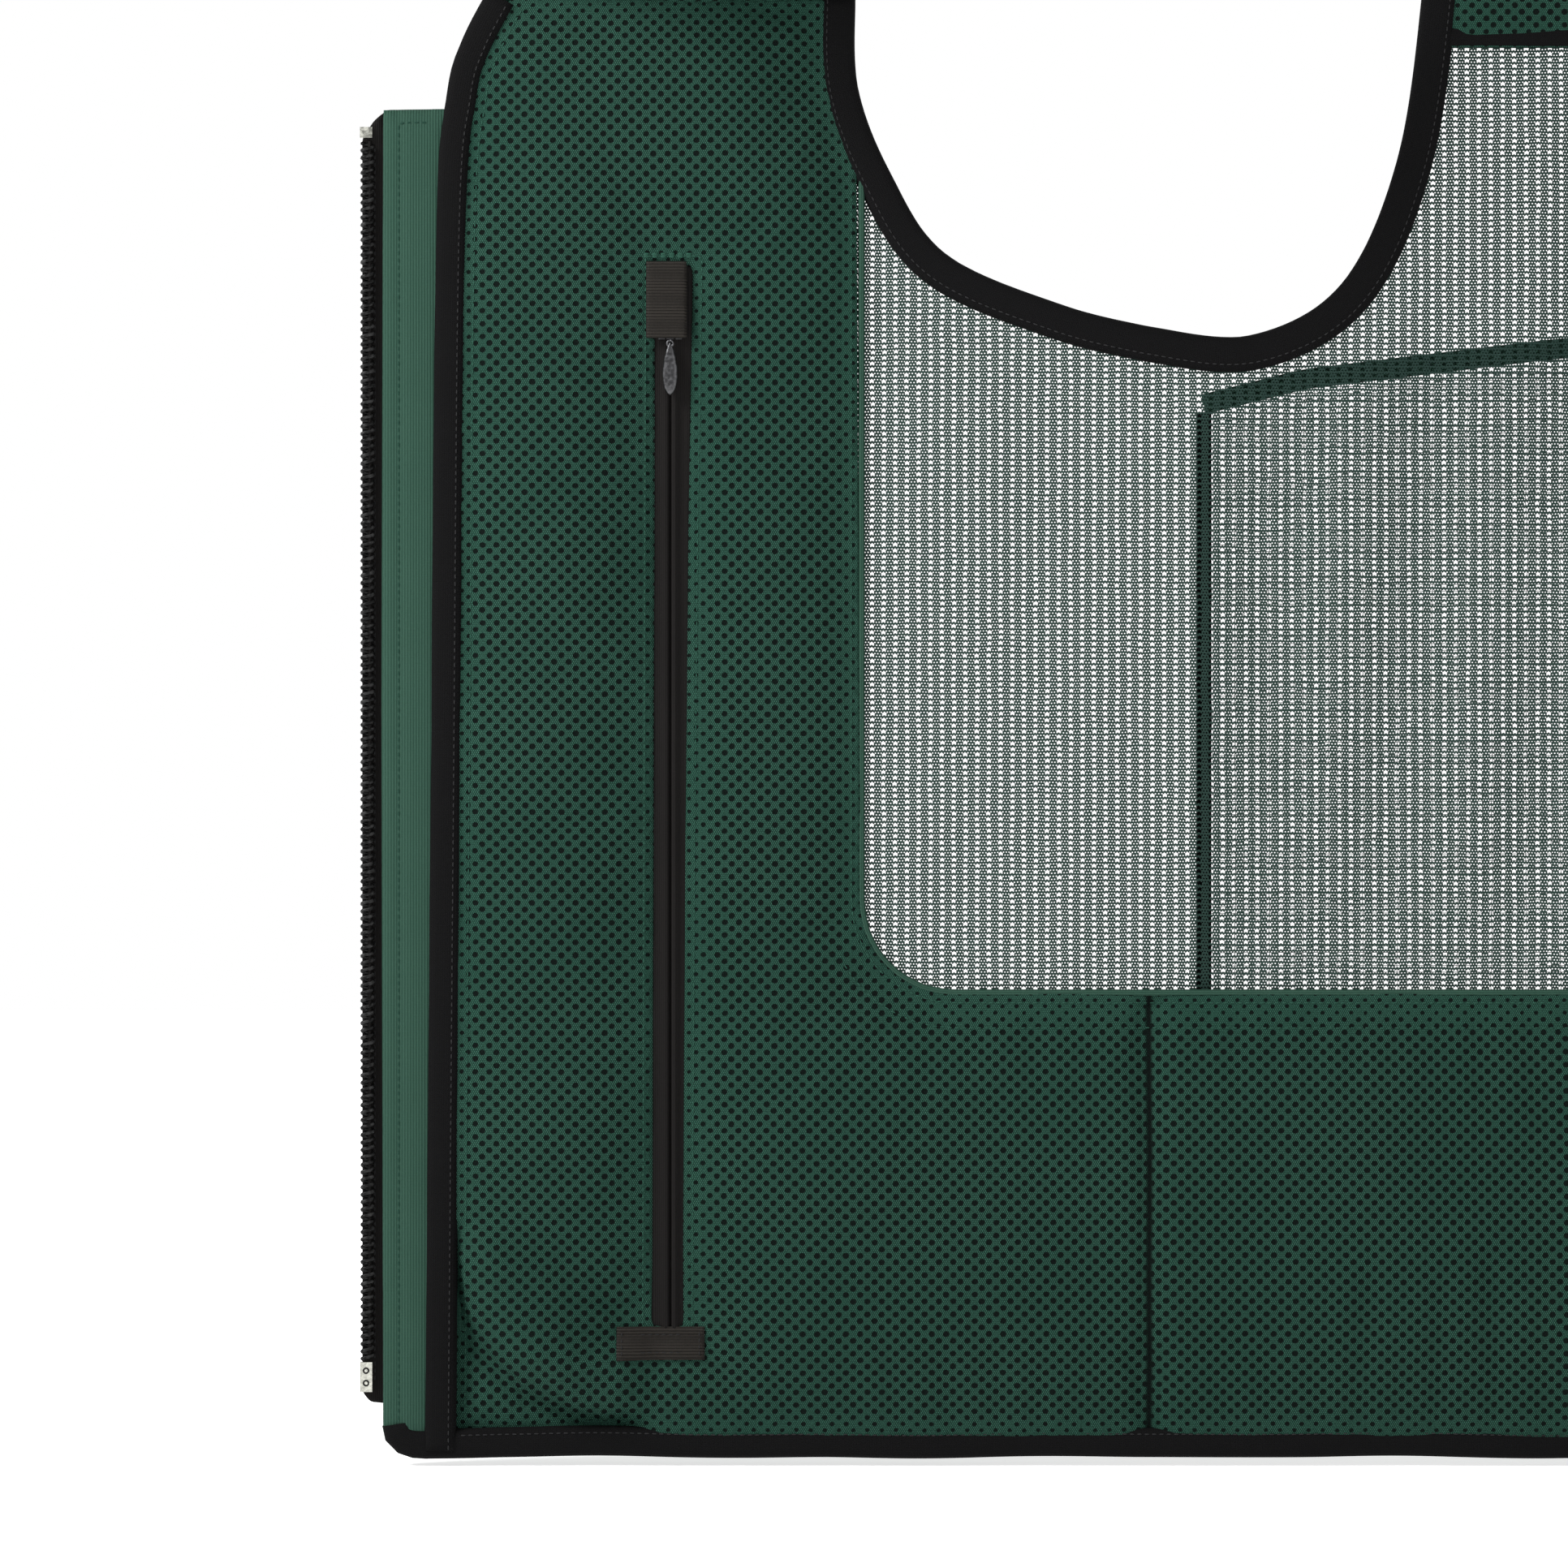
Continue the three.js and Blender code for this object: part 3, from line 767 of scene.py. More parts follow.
def window_net(name, side):
    outline = net_outline()

    def depth(points):
        near = np.clip(distance(points, outline) / 45, 0, 1)
        folds = 2.2 * soft_noise(points * np.array((1.0, 0.45)), 0.022, 12.0)
        gather = 1.6 * np.sin(points[:, 0] * 0.11 + points[:, 1] * 0.012)
        gather *= np.clip((330 - points[:, 0]) / 80, 0, 1)
        return NET_Y + near * (folds + gather)

    piece, flat = sheet(f"{name}_window_net", outline, 7.0, depth, side)
    drape(piece, distance(flat, outline) < 5, 0.002, 2.0, push=-1.0)
    thicken(piece, 0.3)
    fit(piece, NET, name, f"{name}_window_mesh", "back_mesh")


def window_hem(name, side):
    """The turned green edge that frames the window; its two rows of stitching are sewn by window_stitching.
    """
    corner = window_corner(-0.4)
    upright = [(WINDOW_EDGE - 0.4, 512.0), (WINDOW_EDGE - 0.4, 240.0)]
    line = np.concatenate([upright, corner, [(0.5, WINDOW_SILL + 0.4)]])
    piece = sweep(f"{name}_window_edge", flat_stations(line, -2.2, side), pillow(2.6, 4.4, 10))
    fit(piece, FACING, name)


def sewn(name, side, lines, look, follows, surface, outward=False, size=1.0):
    """Thread along (u, z) lines, laid on a surface."""
    bpy.context.view_layer.update()
    tree = BVHTree.FromObject(surface, bpy.context.evaluated_depsgraph_get())
    towards = Vector((0, -1, 0)) if outward else Vector((0, 1, 0))
    runs = []
    for line in lines:
        run = []
        for u, z in resample(line, 1.5):
            start = place(u, 0, z, side) - towards * 0.2
            hit = tree.ray_cast(start, towards)
            if hit[0] is not None:
                run.append(start + towards * (hit[3] - 0.12 * MM * size))
        if len(run) > 2:
            runs.append(run)
    piece = stitches(name, runs, THREAD_RADIUS * size, THREAD_LENGTH * size, THREAD_PITCH * size)
    fit(piece, look, follows)


# ---------------------------------------------------------------- bindings

def hem_line():
    """The hem, round its front corner, with a slight wave."""
    corner = [(608.2, 14), (607.4, 8.8), (602.4, 6.3), (594, 6.2)]
    line = resample(np.concatenate([spline(corner, 8), [(0.2, 6.2)]]), 5)
    line[:, 1] += [1.3 * noise.noise(Vector((u * 0.016, 0, 2.0))) for u, z in line]
    return line


def edge_bindings(name, side):
    """Folded bindings along the front edge, the armhole and the hem, each with a row of stitching."""
    arm, hem = offset(armhole, BINDING / 2), hem_line()
    for label, stitching, line, depth, section, seam, follows, *stands_for in (
        ("front", "binding", edging, -1.2, pillow(FRONT_BINDING + 1, 9.5, 18, 0.42), offset(edging, 3.4),
         name + "_front", f"{name}_front_binding"),
        ("armhole", "armhole", arm, -0.6, pillow(BINDING + 1, 8.5, 18, 0.42), offset(armhole, BINDING - 2.4),
         name, f"{name}_armhole_binding", f"{name}_back_armhole_binding"),
        ("hem", "hem", hem, -0.6, pillow(HEM - 0.6, 8.0, 18, 0.45), hem[6:] + np.array((0, 3.4)),
         name, f"{name}_hem_binding", "back_hem_binding"),
    ):
        piece = sweep(f"{name}_{label}_edge_binding", flat_stations(line, depth, side), section)
        fit(piece, BLACK, follows, *stands_for)
        sewn(f"{name}_{stitching}_stitching", side, [seam], DARK_THREAD, follows, piece)


# ---------------------------------------------------------------- front zip

def placket_outline(zip_edge, top):
    """The green strip between the binding and the zip."""
    inner = offset(edging, -FRONT_BINDING / 2 + 3)
    inner = inner[(inner[:, 1] > HEM) & (inner[:, 1] < top)]
    return np.concatenate([zip_edge, [(inner[0, 0], HEM - 3)], inner])


def stitch_dent(points):
    """1 along the facing's row of stitching, and 0 away from it."""
    return np.exp(-((points[:, 0] - FACING_STITCH) / 1.6) ** 2)


def placket_facing(name, side):
    zip_edge = [(FACING_EDGE, FACING_TOP), (FACING_EDGE + 0.6, 300), (FACING_EDGE, HEM - 3)]
    outline = placket_outline(zip_edge, FACING_TOP + 2)

    def depth(points):
        roll = 2.0 * (1 - np.exp(-distance(points, outline) / 2.6))
        return -2.4 - roll + 0.9 * stitch_dent(points) + 0.5 * soft_noise(points, 0.02, 1.0)

    piece, _ = sheet(f"{name}_green_facing", outline, 2.6, depth, side)
    thicken(piece, 1.0)
    fit(piece, FACING, name + "_front", f"{name}_placket_facing")
    seam = np.array([(FACING_STITCH, HEM + 2), (FACING_STITCH, FACING_TOP - 5), (596, FACING_TOP - 5)])
    sewn(f"{name}_facing_stitching", side, [seam], FACING_THREAD, name + "_front", piece)


def outer_placket(name, side):
    """The facing's outer layer: the same green strip, folded over the front of the zip tape."""
    zip_edge = [(FACING_EDGE - 0.6, FACING_TOP - 1), (FACING_EDGE - 0.6, HEM - 3)]
    outline = placket_outline(zip_edge, FACING_TOP + 1)

    def depth(points):
        return 3.0 - 0.7 * stitch_dent(points) + 0.4 * soft_noise(points, 0.02, 15.0)

    piece, _ = sheet(f"{name}_outer_placket", outline, 3.4, depth, side, outward=True)
    thicken(piece, 0.8)
    fit(piece, FACING, name + "_front")
    seam = np.array([(FACING_STITCH, HEM + 2), (FACING_STITCH, FACING_TOP - 5)])
    sewn(f"{name}_placket_stitching", side, [seam], FACING_THREAD, name + "_front", piece, True)


def front_tape(name, side):
    """Woven tape behind the coil, its top end folded back at a slant."""
    outline = np.array([(622.0, 26), (619.0, 22), (598, 20), (598, FACING_TOP - 2), (612, FACING_TOP + 0.5),
                        (617.2, FACING_TOP - 4), (622.0, FACING_TOP - 11)])

    def depth(points):
        rise = np.clip((points[:, 1] - (FACING_TOP - 16)) / 16, 0, 1)
        lift = rise * np.clip((points[:, 0] - 611) / 6, 0, 1)
        return 1.0 - 3.2 * lift + 0.2 * soft_noise(points, 0.05, 6.0)

    piece, _ = sheet(f"{name}_front_zip_tape", outline, 2.6, depth, side)
    thicken(piece, 0.7)
    fit(piece, TAPE, name + "_front", f"{name}_zip_tape")
    cord = np.array([(617.0, 30), (617.0, FACING_TOP - 14)])
    sewn(f"{name}_zip_tape_stitching", side, [cord], TAPE_THREAD, name + "_front", piece)


def coil(name, side):
    """One nylon thread wound in flat loops, with a bulge on each outer bend where the other row locks in."""
    low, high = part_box(f"{name}_zip_coil")
    loops = int((high.z - low.z) / MM / COIL_PITCH)
    per_loop = 16
    points = []
    for k in range(loops * per_loop + 1):
        turn = 2 * math.pi * k / per_loop
        out = math.cos(turn)
        u = COIL_CENTRE + 2.1 * math.copysign(abs(out) ** 0.75, out)
        z = low.z / MM + 1 + k / per_loop * COIL_PITCH
        points.append(place(u, -0.7 - 0.75 * math.sin(turn), z, side))
    vertices = []
    stations = framed(points)
    corners = 6
    for k, (p, across, out) in enumerate(stations):
        bend = math.cos(2 * math.pi * k / per_loop)
        radius = 0.74 + 0.14 * max(0.0, bend) ** 6
        for a, b in tube(radius, corners):
            vertices.append(p + across * (a * MM) + out * (b * MM))
    piece = build(f"{name}_coil_loops", vertices, tube_faces(len(stations), corners))
    orient(piece)
    fit(piece, NYLON, name + "_front", f"{name}_zip_coil")
    heights = np.arange(low.z / MM + 1, high.z / MM - 0.5, 4.0)
    core = [place(COIL_CENTRE - 0.8, -0.6, z, side) for z in heights]
    cord = sweep(f"{name}_coil_cord", framed(core), tube(0.75))
    fit(cord, TAPE, name + "_front")


# ---------------------------------------------------------------- inner pocket zip

def pocket_zip(name, side):
    """Two black tape edges that meet over the hidden teeth, sunk in the lining."""

    def depth(points):
        from_seam = np.abs(points[:, 0] - POCKET_ZIP)
        bead = 1.5 * np.exp(-((from_seam - 1.7) / 1.5) ** 2)
        groove = 1.4 * np.exp(-(from_seam / 0.5) ** 2)
        return -3.6 - bead + groove + 0.25 * soft_noise(points, 0.06, 2.0)

    half = np.array([0.3, 0.7, 1.2, 1.9, 2.6, 3.4, 4.5, 6, 11.5])
    columns = POCKET_ZIP + np.concatenate([-half[::-1], [0], half])
    node = f"{name}_pocket_zip"
    piece = grid_sheet(node + "_tape", columns, POCKET_LOW - 3, POCKET_HIGH + 1, 4.0, depth, side)
    thicken(piece, 0.6, 0)
    fit(piece, TAPE, name + "_front", node)


def grid_sheet(name, columns, low, high, step, depth, side):
    """A rectangular sheet with chosen upright lines."""
    rows = np.linspace(low, high, int((high - low) / step) + 2)
    flat = np.array([(u, z) for z in rows for u in columns])
    vertices = [place(u, y, z, side) for (u, z), y in zip(flat, depth(flat))]
    return build(name, vertices, grid_faces(len(rows), len(columns), side < 0), flat * MM)


def resting(surface, points, side):
    """How deep a surface lies under each (u, z), in millimetres."""
    graph = bpy.context.evaluated_depsgraph_get()
    tree = BVHTree.FromObject(surface, graph)
    hits = [tree.ray_cast(place(u, -200, z, side), Vector((0, 1, 0)))[0] for u, z in points]
    found = np.array([hit.y / MM if hit else np.nan for hit in hits])
    return np.where(np.isnan(found), np.nanmean(found), found)


def webbing(name, corners, depth, side, fold=0.0, under=None):
    """A short piece of webbing between two corners, with modelled ribs. It may rest on a surface under it."""
    (u0, z0), (u1, z1) = corners
    columns = np.linspace(u0, u1, max(8, int(abs(u1 - u0) / 1.2)))

    def shape(points):
        rib = np.cos(points[:, 1] * 2 * math.pi / WEBBING_RIB)
        across = np.minimum(points[:, 0] - u0, u1 - points[:, 0])
        up = np.minimum(points[:, 1] - z0, z1 - points[:, 1])
        edge = 0.54 * np.exp(-np.minimum(across, up) / 0.9)
        lift = fold * np.clip((points[:, 1] - z0) / (z1 - z0), 0, 1) ** 2
        base = depth if under is None else resting(under, points, side) - 0.9
        return base + edge + lift - 0.16 * rib

    piece = grid_sheet(name, columns, z0, z1, WEBBING_RIB / 4, shape, side)
    thicken(piece, 0.9, 0)
    return piece


def pocket_bag(name, side):
    """The thin cloth bag behind the zip, hidden between the lining and the shell."""
    node = f"{name}_pocket_bag"
    (u0, u1, z0, z1), (near, far) = box_mm(node, side)
    outline = rounded(u0 + 1, u1 - 1, z0 + 1, z1 - 1, 25)

    def depth(points):
        return (near + far) / 2 + 0.4 * soft_noise(points, 0.03, 9.0 + side)

    piece, _ = sheet(f"{name}_inner_pocket_bag", outline, 8.0, depth, side)
    thicken(piece, 0.6)
    fit(piece, BAG_CLOTH, name + "_front", node)


def pocket_trims(name, side, lining):
    """The ribbed tab over the zip's top, the ribbed bar across its bottom, and the stitching round it."""
    body = name + "_front"
    node = f"{name}_pocket_top_tab"
    (u0, u1, z0, z1), _ = box_mm(node, side)
    tab = webbing(f"{name}_ribbed_tab", ((u0, z0 + 1.2), (u1, z1)), -7.6, side, fold=1.6)
    fit(tab, GROSGRAIN, body, node)
    node = f"{name}_pocket_bottom_bar"
    (u0, u1, z0, z1), _ = box_mm(node, side)
    bar = webbing(f"{name}_ribbed_bar", ((u0, z0), (u1, z1)), 0, side, under=lining)
    fit(bar, GROSGRAIN, body, node)
    heights = POCKET_HIGH + 3 + 0.45 * np.arange(4)
    rows = [np.array([(POCKET_ZIP - 9, z), (POCKET_ZIP + 11, z)]) for z in heights]
    sewn(f"{name}_bartack", side, rows, THREAD, body, lining, size=1.2)
    opening = slot_outline(3.4)
    opening = np.concatenate([opening, opening[:1]])
    sewn(f"{name}_pocket_stitching", side, [opening], THREAD, body, lining)
    rows = [np.array([(u, z0 + 1.5), (u, z1 - 1.5)]) for u in (u0 + 2, u1 - 2)]
    rows += [np.array([(u0 + 9, z), (u1 - 9, z)]) for z in (z0 + 3, z1 - 3)]
    sewn(f"{name}_bar_stitching", side, rows, BAR_THREAD, body, bar, size=0.9)


def teardrop(name, node, body, depth, thick, look):
    """A rounded teardrop tag with an eye at its top."""
    low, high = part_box(node)
    middle = (low.x + high.x) / 2
    long = (high.z - low.z) / MM
    half = (high.x - low.x) / 2 / MM
    rows, ring = 22, 16
    vertices = []
    for r in range(rows + 1):
        t = r / rows
        width = max(half * math.sin(math.pi * t ** 1.35) ** 0.5, 0.05)
        z = high.z - t * long * MM
        for j in range(ring):
            turn = 2 * math.pi * j / ring
            c, s = math.cos(turn), math.sin(turn)
            x = middle + width * MM * math.copysign(abs(c) ** 0.8, c)
            y = depth * MM + thick / 2 * MM * s * min(1.0, width / half + 0.35)
            vertices.append((x, y, z))
    piece = build(name, vertices, tube_faces(rows + 1, ring))
    orient(piece)
    fit(piece, look, body, node)
    eye = high.z - 0.7 * MM
    loop = [Vector((middle + 1.2 * MM * math.sin(a), depth * MM, eye + 1.2 * MM * math.cos(a)))
            for a in np.linspace(0, 2 * math.pi, 20)]
    link = sweep(name + "_link", framed(loop), tube(0.42))
    fit(link, look, body)


# ---------------------------------------------------------------- shoulders

def strap_point(along, across, lift, side):
    """The strap: across the shoulder, opened out with the front half."""
    shoulder = math.sin(math.pi * along)
    arm_edge = 112 + 4 * along - 26 * shoulder
    neck_edge = 224 + 37 * along - 24 * shoulder
    out = arm_edge + (neck_edge - arm_edge) * across
    depth = (FOLD_DEPTH + lift) * math.cos(math.pi * along)
    slope = SHOULDER_SEAM + 10 * across
    height = slope + (TOP - slope) * along + (64 + lift + 12 * across) * shoulder
    turn = math.pi * along * along * (3 - 2 * along)
    x = out * math.cos(turn) + depth * math.sin(turn)
    y = -out * math.sin(turn) + depth * math.cos(turn)
    return place(FOLD - x, y - FOLD_DEPTH, height, side)


def bend_along_strap(piece, along):
    """Bakes the piece's placement into its mesh."""
    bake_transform(piece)
    along = np.clip(np.array(along), 0, 1)


def strap(name, side):
    """A padded band: air mesh under, woven cloth over, with both edges bound."""
    steps, across_steps = 56, 14
    for label, base, sign, look in (("lining", -2.0, -1, AIR_MESH), ("shell", 2.0, 1, WOVEN)):
        vertices, uvs, alongs = [], [], []
        for i in range(steps + 1):
            along = -0.006 + 1.012 * i / steps
            for j in range(across_steps + 1):
                across = 0.03 + 0.94 * j / across_steps
                swell = 2.2 * math.sin(math.pi * j / across_steps) ** 0.5
                lift = base + sign * (swell + 0.5 * noise.noise(Vector((i * 0.2, j * 0.3, sign))))
                clipped = min(max(along, 0), 1)
                point = strap_point(clipped, across, lift, side)
                if along != clipped:
                    point.z -= abs(along - clipped) * 400 * MM
                vertices.append(point)
                uvs.append(((across * 125) * MM, along * 430 * MM))
                alongs.append(clipped)
        faces = grid_faces(steps + 1, across_steps + 1, side * sign < 0)
        piece = build(f"{name}_strap_{label}", vertices, faces, uvs)
        if label == "lining":
            edge = [max(0.0, 1 - min(j, across_steps - j) / 1.2) for j in range(across_steps + 1)]
            add_attribute(piece, "pressed", edge * (steps + 1))
        thicken(piece, 1.0)
        dress(piece, look)
        bend_along_strap(piece, alongs)
        if label == "shell":
            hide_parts(f"{name}_shoulder_strap")
    for label, across, width in (("armhole", 0.045, BINDING), ("neck", 0.96, FRONT_BINDING)):
        stations, alongs = [], []
        for i in range(73):
            along = i / 72
            p = strap_point(along, across, 0, side)
            q = strap_point(along, across + 0.02, 0, side)
            r = strap_point(along, across, 1.0, side)
            wide = (q - p).normalized()
            up = (r - p)
            up = (up - wide * up.dot(wide)).normalized()
            stations.append((p, wide, up))
            alongs += [along] * 16
        piece = sweep(f"{name}_strap_{label}_binding", stations, pillow(width, 9.0, 16, 0.42))
        dress(piece, BLACK)
        bend_along_strap(piece, alongs)


# ---------------------------------------------------------------- back

def both(half):
    """An outline made whole by mirroring its half about the centre back."""
    half = np.array(half, float)
    return np.concatenate([half, (half * np.array((-1, 1)))[::-1]])


def yoke():
    arm = offset(armhole, BINDING - 3)
    arm = arm[(arm[:, 1] > YOKE_SEAM - 4) & (arm[:, 0] < 260)]
    neck_half = offset(neck, 5)[: len(neck) // 2 + 1]
    half = np.concatenate([[(arm[0, 0], YOKE_SEAM - 4)], arm, neck_half])
    outline = both(half)
    for label, base, sign, look in (("lining", -2.6, -1, AIR_MESH), ("shell", 1.6, 1, WOVEN)):
        def depth(points, base=base, sign=sign):
            near = distance(points, outline)
            return base + sign * 2.6 * (1 - np.exp(-near / 9)) + 0.8 * soft_noise(points, 0.02, 3 * sign)

        piece, flat = sheet(f"yoke_{label}", outline, 6.0, depth, sign * -1)
        if label == "lining":
            add_attribute(piece, "pressed", np.clip(1.2 - distance(flat, outline) / 8, 0, 1))
        thicken(piece, 1.0)
        fit(piece, look, "root", f"back_yoke_{label}")
    seam = [(-196, YOKE_SEAM), (196, YOKE_SEAM)]
    spine = [(0, HEM), (0, YOKE_SEAM)]
    for label, line, level, section, *stands_for in (
        ("neck_edge_binding", offset(neck, 4.5), 0, pillow(10, 9, 16, 0.42), "neck_binding"),
        ("yoke_seam_tape", seam, -1.8, pillow(8, 5, 12, 0.45)),
        ("centre_back_tape", spine, -3.0, pillow(7, 8.5, 12, 0.45)),
    ):
        fit(sweep(label, flat_stations(line, level, 1), section), BLACK, "root", *stands_for)


def rounded(u0, u1, z0, z1, corner):
    """A pocket outline with two round lower corners."""
    turn = np.linspace(0, math.pi / 2, 6)
    left = np.stack([u0 + corner - corner * np.cos(turn), z0 + corner - corner * np.sin(turn)], 1)
    right = np.stack([u1 - corner + corner * np.sin(turn), z0 + corner - corner * np.cos(turn)], 1)
    return np.concatenate([[(u0, z1)], left, right, [(u1, z1)]])


def box_mm(node, side):
    """A node's box as (u0, u1, z0, z1) and (near, far) in Y, in millimetres."""
    low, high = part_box(node)
    u0, u1 = sorted((low.x * side / MM, high.x * side / MM))
    return (u0, u1, low.z / MM, high.z / MM), (low.y / MM, high.y / MM)


def pouch(name, node, body, side, outline, swell, look):
    """A sewn-on pocket: a soft crowned front with rounded lower corners and rolled sides."""
    _, (near_y, far_y) = box_mm(node, side)
    deep = far_y - near_y

    def depth(points):
        near = distance(points, outline)
        crown = (deep - swell) * (1 - np.exp(-(near / 3.5) ** 1.5)) + swell * (1 - np.exp(-near / 28))
        return near_y + 0.2 + crown + np.clip(near / 12, 0, 1) * 1.4 * soft_noise(points, 0.028, 4.0 + side)

    piece, flat = sheet(name, outline, 5.0, depth, side, outward=True)
    drape(piece, distance(flat, outline) < 8, 0.004, 2.5, push=2.0)
    thicken(piece, 1.0 if look is WOVEN else 0.3)
    fit(piece, look, body, node)
    return piece


def outward_stations(line, depth, side, step=4.0):
    """Stations along a (u, z) line on the outer face."""
    return [(p, across, -out) for p, across, out in flat_stations(line, depth, side, step)]


def outer_pockets(name, side):
    body = name + "_front"
    (u0, u1, z0, z1), (near, _) = box_mm(f"{name}_chest_pocket", side)
    outline = rounded(u0, u1, z0, z1, 14)
    chest = pouch(f"{name}_chest_pouch", f"{name}_chest_pocket", body, side, outline, 3.0, WOVEN)
    stations = outward_stations([(u0, z1), (u1, z1)], near + 2.0, side)
    mouth = sweep(f"{name}_chest_pocket_mouth", stations, pillow(9, 4.4, 14, 0.45))
    fit(mouth, BLACK, body)
    rows = [rounded(u0 + k, u1 - k, z0 + k, z1 - 4, 14) for k in (3.5, 6.5)]
    middle = (u0 + u1) / 2
    rows.append(np.array([(middle, z0 + 4), (middle, z1 - 5)]))
    sewn(f"{name}_chest_stitching", side, rows, THREAD, body, chest, True)

    (u0, u1, z0, z1), (near, far) = box_mm(f"{name}_lower_pocket", side)
    outline = rounded(u0, u1, z0, z1, 18)
    lower = pouch(f"{name}_lower_pouch", f"{name}_lower_pocket", body, side, outline, 5.0, WOVEN)
    row = rounded(u0 + 8.5, u1 - 8.5, z0 + 8.5, z1 - 6, 18)
    sewn(f"{name}_lower_stitching", side, [row], THREAD, body, lower, True)
    flap_header(name, side, u0, u1, z1, far)
    pocket_flap(name, side)


def flap_header(name, side, u0, u1, top, far):
    """The short cloth shelf that carries the flap out over the full pocket."""
    curve = spline([(2.6, top + 11), (8, top + 10.5), (15, top + 8), (far + 1.5, top + 3.6)], 12)
    columns = np.linspace(u0 - 1, u1 + 1, 40)
    vertices, uvs = [], []
    for k, (y, z) in enumerate(curve):
        for u in columns:
            vertices.append(place(u, y, z + 0.3 * noise.noise(Vector((u * 0.05, y, 0))), side))
            uvs.append((u * MM, k * 2.2 * MM))
    piece = build(f"{name}_flap_header", vertices, grid_faces(len(curve), len(columns), side < 0), uvs)
    thicken(piece, 1.2)
    fit(piece, WOVEN, name + "_front")


def pocket_flap(name, side):
    node = f"{name}_lower_flap"
    (u0, u1, z0, z1), (near, far) = box_mm(node, side)
    outline = rounded(u0, u1, z0, z1, 14)
    base = (near + far) / 2

    def depth(points):
        edge = distance(points, outline)
        return base + 0.8 * (1 - np.exp(-edge / 5)) + 1.0 * soft_noise(points, 0.02, 7.0 + side)

    piece, _ = sheet(f"{name}_pocket_flap", outline, 5.0, depth, side, outward=True)
    thicken(piece, 1.6)
    fit(piece, WOVEN, node, node)
    trim = sweep(f"{name}_flap_binding", outward_stations(outline, base, side, 3.0), pillow(7, 4.2, 14, 0.45))
    fit(trim, BLACK, node)
    rows = [rounded(u0 + 6, u1 - 6, z0 + 6, z1 - 9, 12), np.array([(u0 + 6, z1 - 9), (u1 - 6, z1 - 9)])]
    sewn(f"{name}_flap_stitching", side, rows, THREAD, node, piece, True)


def rear_pocket():
    """A wide see-through pouch across the back, with a green band along its mouth."""
    mouth = both([(290, 412), (250, 422), (150, 434), (0, 440)])
    bottom = [(-290, 44), (-276, 30), (276, 30), (290, 44)]
    outline = np.concatenate([mouth, bottom])
    pouch("rear_mesh_pocket", "rear_pocket", "root", 1, outline, 6.0, SHEER)
    line = resample(mouth, 6) + np.array((0, 3.5))
    trim = sweep("rear_pocket_band", outward_stations(line, 4.2, 1), pillow(8, 3.0, 12, 0.4))
    fit(trim, FACING, "root", "rear_pocket_trim")
    stations = outward_stations([(-290, 412), *bottom, (290, 412)], 3.4, 1, 5.0)
    fit(sweep("rear_pocket_edge", stations, pillow(6, 3.0, 12, 0.45)), BLACK, "root")


def back_ring():
    """A D-shaped metal ring that hangs in its webbing loop."""
    low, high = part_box("back_ring")
    y, top = (low.y + high.y) / 2, high.z - 1.5 * MM
    half, drop = 17.2 * MM, high.z - low.z - 3 * MM
    shoulder = [(half * 0.9, top), (half, top - 1.5 * MM)]
    bow = [(half * math.cos(a), top - drop + half - half * math.sin(a)) for a in np.linspace(0, math.pi, 18)]
    outline = [(0, top), *shoulder, *bow, *[(-x, z) for x, z in shoulder[::-1]], (0, top)]
    ring = sweep("back_ring_metal", framed([Vector((x, y, z)) for x, z in outline]), tube(1.5, 12))
    fit(ring, BRIGHT, "back_ring", "back_ring")


def ring_loop():
    """The webbing loop, folded over the ring's straight side."""
    (_, _, z0, z1), (y0, y1) = box_mm("ring_loop", 1)
    middle = (z0 + z1) / 2
    turn = [(y0 + 4, middle - 4.2), (y1 - 1.2, middle), (y0 + 4, middle + 4.2)]
    around = spline([(y0 + 0.6, z0 - 16), (y0 + 0.8, z0), *turn, (y0 + 1.6, z1 + 1)], 26)
    stations = []
    for k, (y, z) in enumerate(around):
        along = around[min(k + 1, len(around) - 1)] - around[max(k - 1, 0)]
        along /= np.linalg.norm(along)
        stations.append((place(0, y, z), Vector((1, 0, 0)), Vector((0, -along[1], along[0]))))
    fit(sweep("ring_webbing", stations, pillow(24, 1.3, 16, 0.25)), RING_WEBBING, "root", "ring_loop")


def hanging_loop():
    """The narrow tape loop inside the neck, on the centre back."""
    (_, _, _, z1), (y0, _) = box_mm("hanger_loop", 1)
    peak = z1 - 2.2
    leg = [(-29, 606), (-26, 635), (-22.5, 654), (-18, peak)]
    line = spline(leg + [(0, peak + 0.3)] + [(-u, z) for u, z in leg[::-1]], 40)
    tape = sweep("hanging_loop", flat_stations(line, y0 + 0.8, 1, 2.0), pillow(6.5, 1.7, 12, 0.4))
    fit(tape, GROSGRAIN, "root", "hanger_loop")


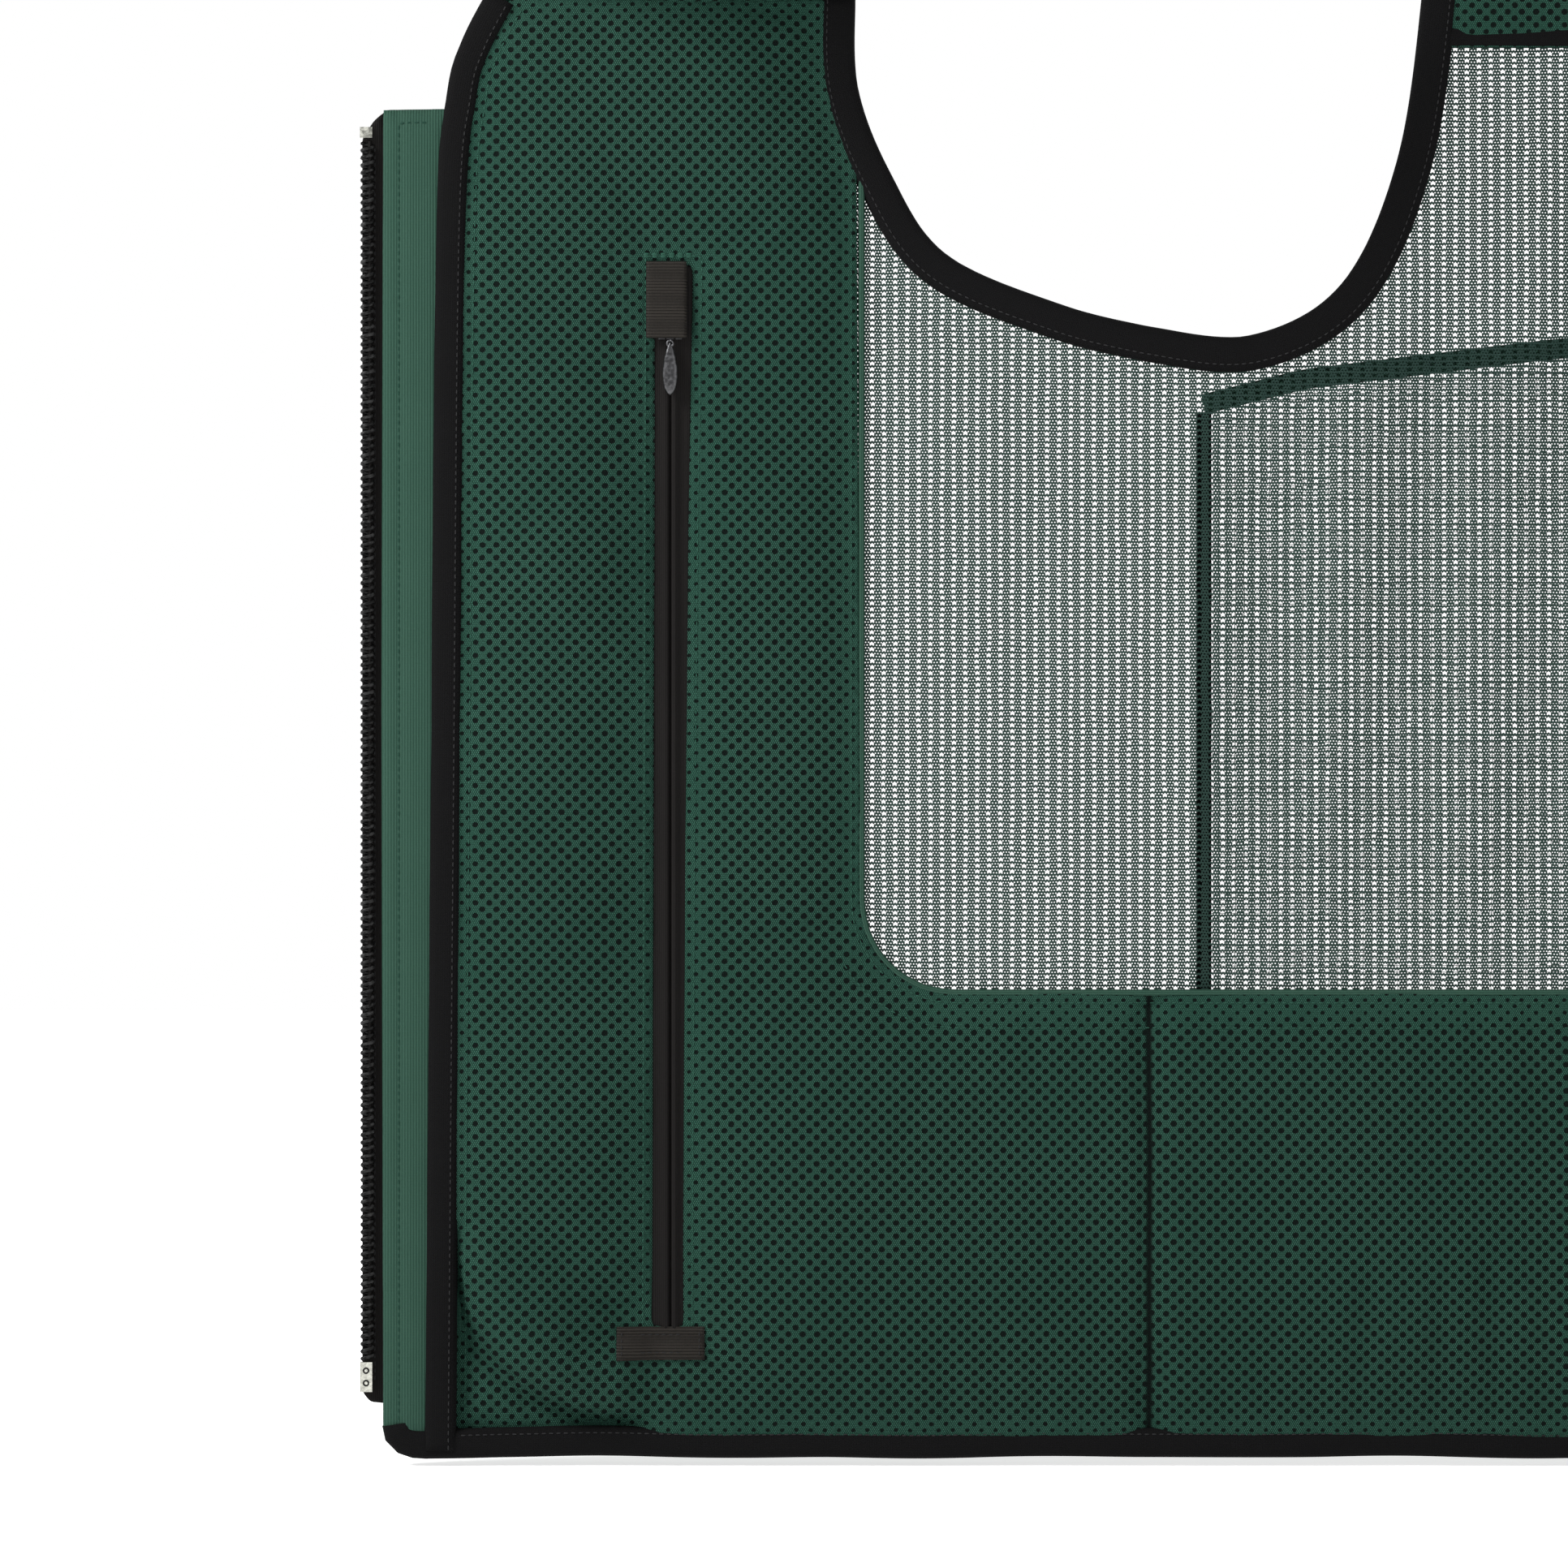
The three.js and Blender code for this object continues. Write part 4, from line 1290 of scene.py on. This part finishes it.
def metal_parts():
    """The plated CAD parts, with their edges rounded, and a thin dark ring on the pin for each of its two
    dimples, as painted shade.
    """
    bright = ["right_zip_top_stop", "left_zip_top_stop", "right_insertion_pin", "left_retainer_box"]
    looks = [(node, BRIGHT) for node in bright + ["front_zip_slider"]]
    looks += [(f"{name}_pocket_slider", GUNMETAL) for name in SIDES]
    for node, look in looks:
        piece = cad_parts[node]
        dress(piece, look)
        bevel = piece.modifiers.new("rounded", "BEVEL")
        bevel.width = 0.5 * MM
        bevel.segments = 3
        piece.data.shade_smooth()
    low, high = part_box("right_insertion_pin")
    middle = (low.x + high.x) / 2
    # Painted shade: each dimple is shown as a thin near-black ring lying on the pin's face.
    for k, height in enumerate((0.3, 0.72)):
        z = low.z + (high.z - low.z) * height
        rim = [Vector((middle + MM * math.cos(a), low.y - 0.02 * MM, z + MM * math.sin(a)))
               for a in np.linspace(0, 2 * math.pi, 16)]
        dimple_shade_ring = sweep(f"pin_dimple_shade_{k}", framed(rim), tube(0.35, 6))
        fit(dimple_shade_ring, NYLON, "right_front")


def window_stitching(name, side, lining):
    """Two rows under the window, one beside it, and one beside the front binding."""
    upright = [(WINDOW_EDGE + 3.6, 500), (WINDOW_EDGE + 3.6, 235)]
    sill = np.concatenate([upright, window_corner(3.6), [(2, WINDOW_SILL - 3.6)]])
    second = np.concatenate([window_corner(13.4)[3:], [(2, WINDOW_SILL - 13.4)]])
    beside = offset(edging, 9.5)
    beside = beside[beside[:, 1] > HEM]
    sewn(f"{name}_window_stitching", side, [sill, second, beside], THREAD, name, lining)


for name, side in SIDES.items():
    lining = inner_lining(name, side)
    for make in (outer_shell, window_net, window_hem, edge_bindings, placket_facing, outer_placket,
                 front_tape, coil, pocket_zip, pocket_bag):
        make(name, side)
    pocket_trims(name, side, lining)
    puller = f"{name}_pocket_puller"
    teardrop(f"{name}_teardrop_puller", puller, puller, -7.7, 1.8, GUNMETAL)
    strap(name, side)
    window_stitching(name, side, lining)
    outer_pockets(name, side)
teardrop("front_zip_pull", "front_zip_puller", "front_puller", 5.0, 1.6, BRIGHT)
yoke()
rear_pocket()
back_ring()
ring_loop()
hanging_loop()
metal_parts()

# ---------------------------------------------------------------- studio

corners = [(-6, -6), (6, -6), (6, 6), (-6, 6)]
floor_mesh = build("floor", [(x, y, -0.003) for x, y in corners], [(0, 1, 2, 3)], corners)
floor_look = Shader("floor_paper")
floor_mesh.data.materials.append(floor_look.finish((0.93, 0.93, 0.93), 0.9))
# Painted light: the floor glows at 0.42 near the vest, rising to 1.02 between 250 and 1100 mm away, so it
# reads white far off and keeps the shading near the vest.
floor_look.surface.inputs["Emission Color"].default_value = (1, 1, 1, 1)
away = floor_look.math("ABSOLUTE", floor_look.y)
painted_floor_glow = floor_look.add(floor_look.times(floor_look.ramp(away, 250, 1100), 0.6), 0.42)
floor_look.links.new(painted_floor_glow, floor_look.surface.inputs["Emission Strength"])


def area_light(name, where, aim, size, power):
    data = bpy.data.lights.new(name, "AREA")
    data.size = size
    data.energy = power
    lamp = bpy.data.objects.new(name, data)
    lamp.location = where
    lamp.rotation_euler = (Vector(aim) - Vector(where)).to_track_quat("-Z", "Y").to_euler()
    bpy.context.scene.collection.objects.link(lamp)


area_light("key", (-2.1, -0.95, 1.75), (-0.4, 0, 0.3), 0.8, 62)
area_light("fill", (1.4, -2.2, 1.1), (-0.3, 0, 0.3), 1.8, 12)
area_light("rim", (0.3, 2.2, 1.8), (0, 0, 0.3), 1.5, 22)


def white_room():
    """Soft white light from all round, and plain white behind the vest."""
    world = bpy.data.worlds.new("studio")
    world.use_nodes = True
    nodes, links = world.node_tree.nodes, world.node_tree.links
    background = nodes["Background"]
    background.inputs[0].default_value = (1, 1, 1, 1)
    ray = nodes.new("ShaderNodeLightPath")
    strength = nodes.new("ShaderNodeMapRange")
    strength.inputs["To Min"].default_value = 0.4
    strength.inputs["To Max"].default_value = 1.0
    links.new(ray.outputs["Is Camera Ray"], strength.inputs["Value"])
    links.new(strength.outputs[0], background.inputs[1])
    bpy.context.scene.world = world


white_room()
bpy.context.scene.view_settings.view_transform = "Standard"

VIEW_WIDTH = 618.2  # the photographed width at the vest
VIEW_CENTRE = (-455.7, 265.6)
DISTANCE = 3000.0
camera_data = bpy.data.cameras.new("camera")
camera_data.sensor_width = 36
camera_data.lens = 36 * DISTANCE / VIEW_WIDTH
camera = bpy.data.objects.new("camera", camera_data)
camera.location = place(VIEW_CENTRE[0], -DISTANCE, VIEW_CENTRE[1])
camera.rotation_euler = (math.pi / 2, 0, 0)
bpy.context.scene.collection.objects.link(camera)
bpy.context.scene.camera = camera
